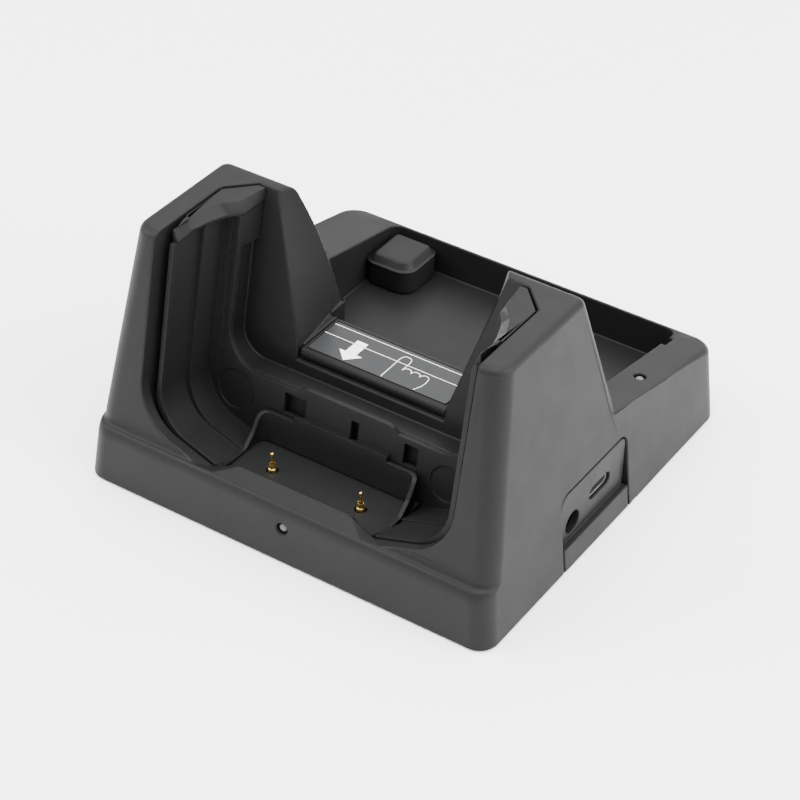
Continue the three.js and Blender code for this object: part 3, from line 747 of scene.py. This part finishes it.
def collar(side):
    outer = [(34.3, -23), (36.2, -23), (42.1, -29.2), (42.1, -42.6), (40.8, -43), (40.8, -48.9)]
    inner = [(39.5, -48.9), (39.6, -43.5), (38.5, -39), (36.8, -34.5), (34.3, -31)]
    corners = [(side * x, at_top(v), COLLAR_LOW) for x, v in outer + inner]
    piece = draw("collar", corners)
    round_corners(piece, corners[7:10], 4, 5)
    select_faces()
    for rise in (COLLAR_SLOPE - COLLAR_LOW, LINER_TOP - COLLAR_SLOPE):
        extrude((0, 0, rise * MM))
    mesh = bmesh.from_edit_mesh(piece.data)
    spots = [v.co.copy() for v in mesh.verts if v.co.z > (LINER_TOP - 0.01) * MM
             and abs(v.co.x) < 40.2 * MM and v.co.y < at_top(-30.5) * MM]
    for spot in spots:
        along = (spot.y / MM - at_top(-39)) / 11
        out = 0.5 + 2.0 * max(0, 1 - along * along)
        pick(piece, "VERT", lambda v: (v.co - spot).length < 0.001 * MM)
        bpy.ops.transform.translate(value=(side * out * MM, 0, 0))
    finish_shape()
    return piece


cut(liner, block("above collar", -60, 60, -60, 10, COLLAR_LOW + 0.1, 130))
for side in (-1, 1):
    join(liner, collar(side))
clean(liner)
soften(liner, 0.16, 2, 40)
stand_in(liner, "device_insert", "housing")

# %% [markdown]
# ## The latch bar and its label
# The bar slides forwards against two springs. Its front edge is a large round that a finger
# presses, and its top has a shallow pocket for the label. The section is drawn once and pulled
# along the bar's length; an array of boxes would have left seams.

# %% The latch bar
BAR_TOP = BAR_HIGH.z
BAR_HALF = BAR_HIGH.x
BAR_FRONT = BAR_LOW.y
BAR_PLATE = 26.9
NOSE_Y = BAR_HIGH.y
POCKET_GAP = 0.25

outline = [(BAR_FRONT + 0.3, BAR_PLATE), (BAR_FRONT, BAR_TOP), (NOSE_Y - 1.2, BAR_TOP),
           (NOSE_Y, BAR_PLATE + 0.9), (NOSE_Y, BAR_PLATE)]
section = [(-BAR_HALF, y, z) for y, z in outline]
bar = draw("bar", section)
round_corners(bar, [section[1]], 1.4, 8)
round_corners(bar, [section[2]], 0.5, 4)
pull(bar, x=2 * BAR_HALF)
for side in (-1, 1):
    x = side * 14
    join(bar, block("leg", x - 1.8, x + 1.8, -9.6, -6.8, BAR_LOW.z, BAR_PLATE + 0.4))
LABEL_LOW, LABEL_HIGH = node_box("latch_label")
cut(bar, block("label pocket", LABEL_LOW.x - POCKET_GAP, LABEL_HIGH.x + POCKET_GAP,
               LABEL_LOW.y - POCKET_GAP, LABEL_HIGH.y + POCKET_GAP, LABEL_LOW.z - 0.05, BAR_TOP + 1))
clean(bar)
soften(bar, 0.2, 2)
stand_in(bar, "latch_bar", "latch")

# %% [markdown]
# ## The label's film and its print
# The film is a thin sheet with rounded corners. Its print is made of real, very thin shapes: two
# long lines, an arrow that shows which way the bar slides, and a plain pointing hand. A texture
# would need a picture; drawn shapes stay sharp from close by and move with the bar.

# %% The film
film_corners = rectangle(LABEL_LOW.x, LABEL_HIGH.x, LABEL_LOW.y, LABEL_HIGH.y, LABEL_LOW.z)
film = draw("film", film_corners)
round_corners(film, film_corners, 0.6, 5)
pull(film, z=LABEL_HIGH.z - LABEL_LOW.z)
soften(film, 0.04, 2)
stand_in(film, "latch_label", "latch")

# %% The printed art
INK = 0.03
INK_Z = LABEL_HIGH.z + 0.002
INK_WIDTH = 0.2
INK_FLATTEN = 0.12
LINE_HALF = 0.07


def ink_shape(name, points):
    """A flat printed shape, a few hundredths of a millimetre thick."""
    piece = draw(name, [(x, y, INK_Z) for x, y in points])
    return pull(piece, z=INK)


def ink_line(name, points):
    """A printed line of even width along these points, as a curve turned into a mesh."""
    curve = bpy.data.curves.new(name, "CURVE")
    curve.dimensions = "3D"
    curve.bevel_depth = INK_WIDTH / 2 * MM
    curve.bevel_resolution = 1
    spline = curve.splines.new("BEZIER")
    spline.bezier_points.add(len(points) - 1)
    for knot, (x, y) in zip(spline.bezier_points, points):
        knot.co = Vector((x, y, INK_Z)) * MM
        knot.handle_left_type = knot.handle_right_type = "AUTO"
    curve.resolution_u = 6
    curve.use_fill_caps = True
    line = bpy.data.objects.new(name, curve)
    bpy.context.scene.collection.objects.link(line)
    take(line)
    bpy.ops.object.convert(target="MESH")
    line = bpy.context.object
    bpy.ops.object.mode_set(mode="EDIT")
    bpy.ops.mesh.select_all(action="SELECT")
    flat = Vector((0, 0, INK_Z)) * MM
    bpy.ops.transform.resize(value=(1, 1, INK_FLATTEN), center_override=flat)
    bpy.ops.object.mode_set(mode="OBJECT")
    return line


ink_pieces = []


def put_on_label(piece, name):
    piece.name = name
    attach(piece, "latch")
    ink_pieces.append(piece)


for number, y in enumerate((-3.9, -8.0), start=1):
    strip = ink_shape("line", [(LABEL_LOW.x, y - LINE_HALF), (LABEL_HIGH.x, y - LINE_HALF),
                               (LABEL_HIGH.x, y + LINE_HALF), (LABEL_LOW.x, y + LINE_HALF)])
    put_on_label(strip, f"label_line_{number}")

ARROW_X = -9.5
ARROW_TOP = -6.5
ARROW_NECK = -11.6
ARROW_TIP = -14.8
SHAFT = 1.5
HEAD = 3.2
arrow = ink_shape("arrow", [(ARROW_X - SHAFT, ARROW_TOP), (ARROW_X - SHAFT, ARROW_NECK),
                            (ARROW_X - HEAD, ARROW_NECK), (ARROW_X, ARROW_TIP),
                            (ARROW_X + HEAD, ARROW_NECK), (ARROW_X + SHAFT, ARROW_NECK),
                            (ARROW_X + SHAFT, ARROW_TOP)])
put_on_label(arrow, "label_arrow")


def half_round(x, y, radius):
    """Points over the top of a half circle, from its left end to its right end."""
    turns = [math.pi * (1 - step / 6) for step in range(7)]
    return [(x + radius * math.cos(turn), y + radius * math.sin(turn)) for turn in turns]


# A plain pointing hand: one raised finger and three folded ones, all half circles and straight lines.
WRIST_Y = -15.0
FINGER_X = 2.6
FINGER_R = 1.4
KNUCKLE_R = 1.2
KNUCKLE_Y = -10.2
finger = [(FINGER_X - FINGER_R, WRIST_Y), (FINGER_X - FINGER_R, -8.0)]
finger += half_round(FINGER_X, -6.6, FINGER_R) + [(FINGER_X + FINGER_R, KNUCKLE_Y)]
put_on_label(ink_line("finger", finger), "label_hand_finger")
for number in range(1, 4):
    knuckle = half_round(FINGER_X + FINGER_R + KNUCKLE_R * (2 * number - 1), KNUCKLE_Y, KNUCKLE_R)
    if number == 3:
        knuckle += [(knuckle[-1][0], -12.4), (knuckle[-1][0] - 1.0, WRIST_Y)]
    put_on_label(ink_line("knuckle", knuckle), f"label_hand_knuckle_{number}")
print("printed shapes:", len(ink_pieces))

# %% [markdown]
# ## The socket panel
# The sockets sit in a plate of their own, sunk into the right side. Its foot comes forward to the
# moulding's surface, which leaves a step under the sockets. The round and the long hole get a
# wide soft rim, as a moulded hole has.

# %% The panel
FACE = 53.9
PANEL_BACK = panel_low.x
PANEL_FOOT = 3.4
STEP = 6.4
USB = node_middle("usb_c_tongue")
JACK = node_middle("dc_jack_pin")
plate_corners = [(PANEL_BACK, panel_low.y, PANEL_FOOT), (PANEL_BACK, panel_high.y, PANEL_FOOT),
                 (PANEL_BACK, panel_high.y, panel_high.z), (PANEL_BACK, panel_low.y, panel_high.z)]
panel = draw("panel", plate_corners)
round_corners(panel, plate_corners[2:], 2.65, 6)
pull(panel, x=FACE - PANEL_BACK)
foot_inner = side_at(PANEL_FOOT) - 2
foot_outline = [(PANEL_BACK, PANEL_FOOT), (foot_inner, PANEL_FOOT), (foot_inner, BOTTOM),
                (side_at(BOTTOM), BOTTOM), (side_at(STEP), STEP), (PANEL_BACK, STEP)]
foot = draw("foot", [(x, panel_low.y, z) for x, z in foot_outline])
pull(foot, y=panel_high.y - panel_low.y)
join(panel, foot)


def long_slot(name, width, height, x0, x1):
    """A slot with half-round ends, about the middle of the USB-C socket."""
    half_width = width / 2
    half_height = height / 2
    corners = [(x0, USB.y + sy * half_width, USB.z + sz * half_height)
               for sy, sz in ((-1, -1), (1, -1), (1, 1), (-1, 1))]
    piece = draw(name, corners)
    round_corners(piece, corners, half_height * 0.97, 7)
    return pull(piece, x=x1 - x0)


cut(panel, long_slot("usb slot", 9.3, 3.5, 50, 56))
cut(panel, bore("jack hole", 2.95, (50, JACK.y, JACK.z), "X", 8, 40))
clean(panel)
soften(panel, 0.3)
stand_in(panel, "port_panel", "housing")

# %% [markdown]
# ## Sockets
# The USB-C shell is drawn steel: one long slot-shaped tube with a thin even wall.
# The power jack is a black moulding with a bore and a steel pin in its middle.

# %% The sockets
usb_low, usb_high = node_box("usb_c_shell")
usb = long_slot("usb", 9.0, 3.2, usb_low.x, usb_high.x)
cut(usb, long_slot("usb inside", 8.3, 2.5, usb_low.x + 0.8, 60))
clean(usb)
soften(usb, 0.08, 2)
stand_in(usb, "usb_c_shell", "housing")

jack_low, jack_high = node_box("dc_jack")
JACK_FRONT = 51.3
JACK_PIN_TIP = 50.4
jack = block("jack", jack_low.x, JACK_FRONT, jack_low.y, jack_high.y, jack_low.z, jack_high.z)
cut(jack, bore("jack bore", 2.1, (43, JACK.y, JACK.z), "X", 20, 40))
clean(jack)
soften(jack, 0.15, 2)
stand_in(jack, "dc_jack", "housing")

pin_start = node_box("dc_jack_pin")[0].x
jack_pin = bore("pin", 0.55, (pin_start, JACK.y, JACK.z), "X", JACK_PIN_TIP - pin_start, 24)
soften(jack_pin, 0.15, 2)
stand_in(jack_pin, "dc_jack_pin", "housing")

# %% [markdown]
# ## The block in the bay's corner
# A small block stands in the bay's back left corner and keys the battery. Its upright edges are
# round and its top is a smaller flat with sloping sides. The top face is inset twice and then moved
# up, so the slope keeps the round outline of the corners.

# %% The corner block
block_low, block_high = node_box("bay_corner_block")
KEY_SLOPE = 2.1
key_right = block_high.x + 0.8
key_front = block_low.y - 1.2
key_corners = rectangle(block_low.x, key_right, key_front, block_high.y, block_low.z)
key = draw("key", key_corners)
round_corners(key, key_corners[:1] + key_corners[2:], 2.4, 7)
round_corners(key, key_corners[1:2], 4.2, 10)
key_top = block_high.z - 0.8
pull(key, z=key_top - KEY_SLOPE - block_low.z)
open_mesh(key)
pick(key, "FACE", lambda f: f.normal.z > 0.9)
bpy.ops.mesh.inset(thickness=0.3 * MM)
bpy.ops.mesh.inset(thickness=1.4 * MM)
bpy.ops.transform.translate(value=(0, 0, KEY_SLOPE * MM))
bpy.ops.object.mode_set(mode="OBJECT")
soften(key, 0.5)
stand_in(key, "bay_corner_block", "housing")

# %% [markdown]
# ## Turned parts
# The spring contacts, the light pipes, the feet and the screws are all turned: half an outline is
# drawn beside an axis and spun once round. A cylinder with bevels would do for one radius, but
# the contacts have five.


# %% The lathe
def lathe(name, outline, centre, axis="Z", steps=32):
    """Spins an outline of (radius, height) points round an axis through the centre."""
    piece = pen(name, [(radius, 0, height) for radius, height in outline])
    bpy.ops.mesh.spin(steps=steps, angle=2 * math.pi, center=(0, 0, 0), axis=(0, 0, 1))
    bpy.ops.mesh.select_all(action="SELECT")
    bpy.ops.mesh.remove_doubles(threshold=0.001 * MM)
    finish_shape()
    take(piece)
    if axis == "Y":
        piece.rotation_euler.x = math.pi / 2
    piece.location = Vector(centre) * MM
    bpy.ops.object.transform_apply(location=True, rotation=True, scale=True)
    bpy.ops.object.shade_smooth_by_angle(angle=math.radians(40))
    return piece


# %% Contacts, light pipes, feet
TIP = PIN_HIGH.z
BARREL = [(0, 6.6), (0.85, 6.6), (0.85, 9.2), (1.0, 9.25), (1.05, 9.4), (1.05, 11.6), (0.95, 11.8),
          (0.8, 11.9), (0.75, 12.0), (0.75, 12.9), (0.7, 13.1), (0.62, 13.1), (0.6, 13.0),
          (0.6, 7.6), (0, 7.6)]
PLUNGER = [(0, 10.6), (0.3, 10.6), (0.3, 14.9), (0.34, 15.05), (0.42, 15.2), (0.45, 15.4), (0.45, 15.7),
           (0.42, TIP - 0.25), (0.34, TIP - 0.1), (0.18, TIP - 0.02), (0, TIP)]
for side, name in ((-1, "left"), (1, "right")):
    place = (side * PIN_X, PIN_Y, 0)
    barrel = lathe("barrel", BARREL, place, steps=36)
    stand_in(barrel, f"pogo_barrel_{name}", "housing")
    plunger = lathe("plunger", PLUNGER, place)
    stand_in(plunger, f"pogo_plunger_{name}", f"pin_{name}")

LENS = [(0, 0), (1.1, 0), (1.15, 0.1), (1.15, 3.3), (1.0, 3.6), (0.7, 3.8), (0.35, 3.88), (0, 3.9)]
lens_back = node_box("front_led_lens")[1].y
front_lens = lathe("lens", LENS, (FRONT_LED.x, lens_back, FRONT_LED.z), "Y")
stand_in(front_lens, "front_led_lens", "housing")
LONG_LENS = [(radius, height * 4.7 / 3.9) for radius, height in LENS]
lens_foot = node_box("deck_led_lens")[0].z
deck_lens = lathe("lens", LONG_LENS, (DECK_LED.x, DECK_LED.y, lens_foot))
stand_in(deck_lens, "deck_led_lens", "housing")

for number in range(1, 5):
    low, high = node_box(f"rubber_foot_{number}")
    middle = (low + high) / 2
    radius = high.x - middle.x
    top = high.z
    outline = [(0, 0.12), (radius - 2.6, 0.12), (radius - 2.2, 0.0), (radius - 0.9, 0.0),
               (radius - 0.3, 0.15), (radius, 0.6), (radius, top), (0, top)]
    foot = lathe("foot", outline, (middle.x, middle.y, 0), steps=48)
    stand_in(foot, f"rubber_foot_{number}", "housing")

    low, high = node_box(f"case_screw_{number}")
    middle = (low + high) / 2
    head = low.z
    outline = [(0, head), (2.3, head), (2.65, head + 0.12), (2.78, head + 0.35),
               (2.78, head + 0.7), (1.35, head + 0.7)]
    turn = head + 0.7
    while turn < high.z - 0.8:
        outline += [(1.35, turn + 0.28), (1.12, turn + 0.45), (1.12, turn + 0.5), (1.35, turn + 0.67)]
        turn += 0.67
    outline += [(1.3, high.z - 0.4), (0.7, high.z), (0, high.z)]
    screw = lathe("screw", outline, (middle.x, middle.y, 0), steps=28)
    cut(screw, block("drive", middle.x - 1.5, middle.x + 1.5, middle.y - 0.3, middle.y + 0.3, -1, 1.3))
    cut(screw, block("drive", middle.x - 0.3, middle.x + 0.3, middle.y - 1.5, middle.y + 1.5, -1, 1.3))
    take(screw)
    bpy.ops.object.shade_smooth_by_angle(angle=SHARP)
    stand_in(screw, f"case_screw_{number}", "housing")

# %% [markdown]
# ## The cover underneath
# The cover closes the moulding from below. It follows the moulding's outline a little inside the
# skirt and has round seats for the feet and sunk holes for the screws.

# %% The bottom cover
cover_corners = rectangle(COVER_LOW.x, COVER_HIGH.x, COVER_LOW.y, COVER_HIGH.y, COVER_LOW.z)
cover = draw("cover", cover_corners)
round_corners(cover, cover_corners, 4.4, 8)
pull(cover, z=COVER_HIGH.z - COVER_LOW.z)
cut(cover, block("panel notch", 50.8, 60, panel_low.y - 1.35, panel_high.y + 1.35, 0, 5))
for number in range(1, 5):
    foot_at = node_middle(f"rubber_foot_{number}")
    screw_at = node_middle(f"case_screw_{number}")
    cut(cover, bore("foot seat", 5.35, (foot_at.x, foot_at.y, -1), "Z", 2.9, 48),
        bore("screw seat", 3.3, (screw_at.x, screw_at.y, -1), "Z", 2.9, 36),
        bore("screw hole", 1.9, (screw_at.x, screw_at.y, -1), "Z", 6, 28))
clean(cover)
soften(cover, 0.25, 2)
stand_in(cover, "bottom_cover", "housing")

# %% [markdown]
# ## Finishes
# Every finish is built from noise on Object coordinates, so it needs no picture and doesn't slide
# when a part moves. The case is charcoal plastic with a fine spark-eroded grain: the grain is a
# bump, wider clouds shift the roughness a little, and a few faint scuffs are lighter.


# %% Material helpers
def new_material(name):
    material = bpy.data.materials.new(name)
    material.use_nodes = True
    nodes = material.node_tree.nodes
    links = material.node_tree.links
    shader = nodes["Principled BSDF"]
    where = nodes.new("ShaderNodeTexCoord")
    return material, nodes, links, shader, where.outputs["Object"]


def noise(nodes, links, where, scale, detail=3.0, roughness=0.55):
    """Noise whose grains are about 1/scale metres across."""
    node = nodes.new("ShaderNodeTexNoise")
    node.inputs["Scale"].default_value = scale
    node.inputs["Detail"].default_value = detail
    node.inputs["Roughness"].default_value = roughness
    links.new(where, node.inputs["Vector"])
    return node.outputs["Fac"]


def between(nodes, links, factor, low, high, start=0.35, end=0.65):
    """Maps a noise onto a range of values."""
    node = nodes.new("ShaderNodeMapRange")
    node.inputs["From Min"].default_value = start
    node.inputs["From Max"].default_value = end
    node.inputs["To Min"].default_value = low
    node.inputs["To Max"].default_value = high
    links.new(factor, node.inputs["Value"])
    return node.outputs["Result"]


def blend_colors(nodes, links, factor, first, second):
    node = nodes.new("ShaderNodeMix")
    node.data_type = "RGBA"
    links.new(factor, node.inputs["Factor"])
    for socket, color in (("A", first), ("B", second)):
        target = next(s for s in node.inputs if s.name == socket and s.type == "RGBA")
        if isinstance(color, tuple):
            target.default_value = (*color, 1)
        else:
            links.new(color, target)
    return next(s for s in node.outputs if s.type == "RGBA")


def add_bump(nodes, links, shader, height, strength, distance):
    node = nodes.new("ShaderNodeBump")
    node.inputs["Strength"].default_value = strength
    node.inputs["Distance"].default_value = distance * MM
    links.new(height, node.inputs["Height"])
    links.new(node.outputs["Normal"], shader.inputs["Normal"])


PLASTIC_SHINE = 0.12


def moulded_plastic(name, color, lift, rough, grain=0.05):
    """Matte moulded plastic; lift is how much lighter its clouds are, grain the bump in millimetres."""
    material, nodes, links, shader, where = new_material(name)
    lighter = tuple(value * lift for value in color)
    cloud = between(nodes, links, noise(nodes, links, where, 28, 4), 0, 1, 0.3, 0.7)
    body = blend_colors(nodes, links, cloud, color, lighter)
    speck = between(nodes, links, noise(nodes, links, where, 5200, 2), 0, 0.3, 0.45, 0.75)
    grainy = blend_colors(nodes, links, speck, body, tuple(value * 1.5 for value in color))
    scuff = between(nodes, links, noise(nodes, links, where, 210, 6, 0.75), 0, 0.22, 0.66, 0.78)
    worn = blend_colors(nodes, links, scuff, grainy, tuple(value * 2.4 for value in color))
    links.new(worn, shader.inputs["Base Color"])
    roughness = between(nodes, links, noise(nodes, links, where, 120, 5), rough - 0.02, rough + 0.03)
    links.new(roughness, shader.inputs["Roughness"])
    shader.inputs["Specular IOR Level"].default_value = PLASTIC_SHINE
    height = noise(nodes, links, where, 3600, 3, 0.6)
    add_bump(nodes, links, shader, height, 0.35, grain)
    return material


# %% Plastics, film and rubber
case_plastic = moulded_plastic("case_plastic", (0.0056, 0.0057, 0.0059), 1.05, 0.5)
# The liner's plastic is a touch darker than the case's. This is partly its own tone and partly painted
# shade for the shaded slot it lines.
insert_plastic = moulded_plastic("insert_plastic", (0.0050, 0.0051, 0.0053), 1.06, 0.5)
black_plastic = moulded_plastic("black_plastic", (0.005, 0.005, 0.005), 1.2, 0.42, 0.02)
rubber = moulded_plastic("rubber", (0.008, 0.008, 0.0083), 1.3, 0.86, 0.12)
label_film = moulded_plastic("label_film", (0.0215, 0.022, 0.0228), 1.06, 0.36, 0.012)


def white_ink():
    material, nodes, links, shader, where = new_material("white_ink")
    thin = between(nodes, links, noise(nodes, links, where, 2500, 3), 0, 0.35, 0.5, 0.8)
    color = blend_colors(nodes, links, thin, (0.86, 0.87, 0.88), (0.6, 0.61, 0.63))
    links.new(color, shader.inputs["Base Color"])
    shader.inputs["Roughness"].default_value = 0.5
    return material


# %% Metals, lens and boards
def metal(name, color, tarnish, rough):
    material, nodes, links, shader, where = new_material(name)
    shader.inputs["Metallic"].default_value = 1.0
    stain = between(nodes, links, noise(nodes, links, where, 900, 4), 0, 0.5, 0.45, 0.7)
    links.new(blend_colors(nodes, links, stain, color, tarnish), shader.inputs["Base Color"])
    links.new(between(nodes, links, noise(nodes, links, where, 2600, 4), rough - 0.06, rough + 0.1),
              shader.inputs["Roughness"])
    add_bump(nodes, links, shader, noise(nodes, links, where, 7000, 2), 0.12, 0.01)
    return material


gold_contact = metal("gold_contact", (0.62, 0.42, 0.15), (0.42, 0.26, 0.08), 0.3)
steel = metal("steel", (0.30, 0.30, 0.31), (0.21, 0.21, 0.22), 0.36)


def frosted_lens():
    material, nodes, links, shader, where = new_material("lens")
    milky = between(nodes, links, noise(nodes, links, where, 1500, 3), 0, 1)
    color = blend_colors(nodes, links, milky, (0.04, 0.041, 0.043), (0.062, 0.064, 0.066))
    links.new(color, shader.inputs["Base Color"])
    shader.inputs["Roughness"].default_value = 0.5
    add_bump(nodes, links, shader, noise(nodes, links, where, 2600, 2), 0.1, 0.02)
    return material


def board_green():
    material, nodes, links, shader, where = new_material("circuit_board")
    copper = between(nodes, links, noise(nodes, links, where, 700, 2), 0, 1, 0.52, 0.56)
    color = blend_colors(nodes, links, copper, (0.012, 0.075, 0.035), (0.02, 0.12, 0.055))
    links.new(color, shader.inputs["Base Color"])
    shader.inputs["Roughness"].default_value = 0.3
    add_bump(nodes, links, shader, copper, 0.3, 0.03)
    return material


FINISHES = {
    "case_plastic": case_plastic, "insert_plastic": insert_plastic, "black_plastic": black_plastic,
    "rubber": rubber, "label_film": label_film, "gold_contact": gold_contact, "steel": steel,
    "lens": frosted_lens(), "circuit_board": board_green(),
}


# %% Giving every part its finish
def paint(piece, material):
    piece.data.materials.clear()
    piece.data.materials.append(material)


for sub_part in frame["record"]["subparts"]:
    node = sub_part["node"]
    finish = FINISHES[sub_part["material_slot"]]
    fine = bpy.data.objects.get(f"{node}_fine")
    paint(fine if fine else frame["nodes"][node], finish)

print_ink = white_ink()
for piece in ink_pieces:
    paint(piece, print_ink)
print("finishes:", sorted(FINISHES))

# %% [markdown]
# ## Floor, light and camera
# The cradle stands on a plain pale floor between four soft square panels: one on each side, one
# behind it and one above it. None of them stands beside the camera, so the faces that look at the
# camera are the darkest, and every rounded edge shows as a brighter or darker line.


# %% Floor
def pale_floor():
    material, nodes, links, shader, where = new_material("floor")
    cloud = between(nodes, links, noise(nodes, links, where, 3, 2), 0, 1)
    color = blend_colors(nodes, links, cloud, (0.93, 0.93, 0.93), (0.95, 0.95, 0.95))
    links.new(color, shader.inputs["Base Color"])
    shader.inputs["Roughness"].default_value = 0.9
    return material


clear_selection()
bpy.ops.mesh.primitive_plane_add(size=4, location=(0, 0, 0))
floor = bpy.context.object
floor.name = "floor"
paint(floor, pale_floor())


# %% Lights
def panel_light(name, azimuth, elevation, distance, size, power):
    """A square soft light that looks at the cradle; azimuth 0 is in front, 90 on the right."""
    turn = math.radians(azimuth)
    rise = math.radians(elevation)
    direction = (math.sin(turn) * math.cos(rise), -math.cos(turn) * math.cos(rise), math.sin(rise))
    spot = Vector(direction) * distance
    data = bpy.data.lights.new(name, "AREA")
    data.size = size
    data.energy = power
    light = bpy.data.objects.new(name, data)
    light.location = spot
    light.rotation_euler = (-spot).to_track_quat("-Z", "Y").to_euler()
    bpy.context.scene.collection.objects.link(light)


panel_light("right panel", 100, 33, 0.9, 0.8, 21)
panel_light("left panel", -60, 38, 0.9, 0.6, 12)
panel_light("back panel", 190, 50, 1.0, 0.9, 11)
panel_light("top panel", 20, 80, 1.1, 0.8, 23)

world = bpy.data.worlds.new("studio")
bpy.context.scene.world = world
world.use_nodes = True
world.node_tree.nodes["Background"].inputs["Color"].default_value = (1, 1, 1, 1)
world.node_tree.nodes["Background"].inputs["Strength"].default_value = 1.7

# %% Camera
CAMERA_AT = (251.04, -394.70, 369.25)
AZIMUTH = math.radians(32.759)
ELEVATION = math.radians(37.339)
ROLL = math.radians(1.419)
camera_data = bpy.data.cameras.new("camera")
camera_data.lens = 110.29
camera_data.sensor_width = 36
camera = bpy.data.objects.new("camera", camera_data)
camera.rotation_mode = "XYZ"
camera.rotation_euler = (math.pi / 2 - ELEVATION, 0, AZIMUTH)
camera.location = Vector(CAMERA_AT) * MM
bpy.context.scene.collection.objects.link(camera)
bpy.context.view_layer.update()
camera.rotation_euler.rotate_axis("Z", ROLL)
bpy.context.scene.camera = camera
print("camera at", [round(value, 1) for value in CAMERA_AT])
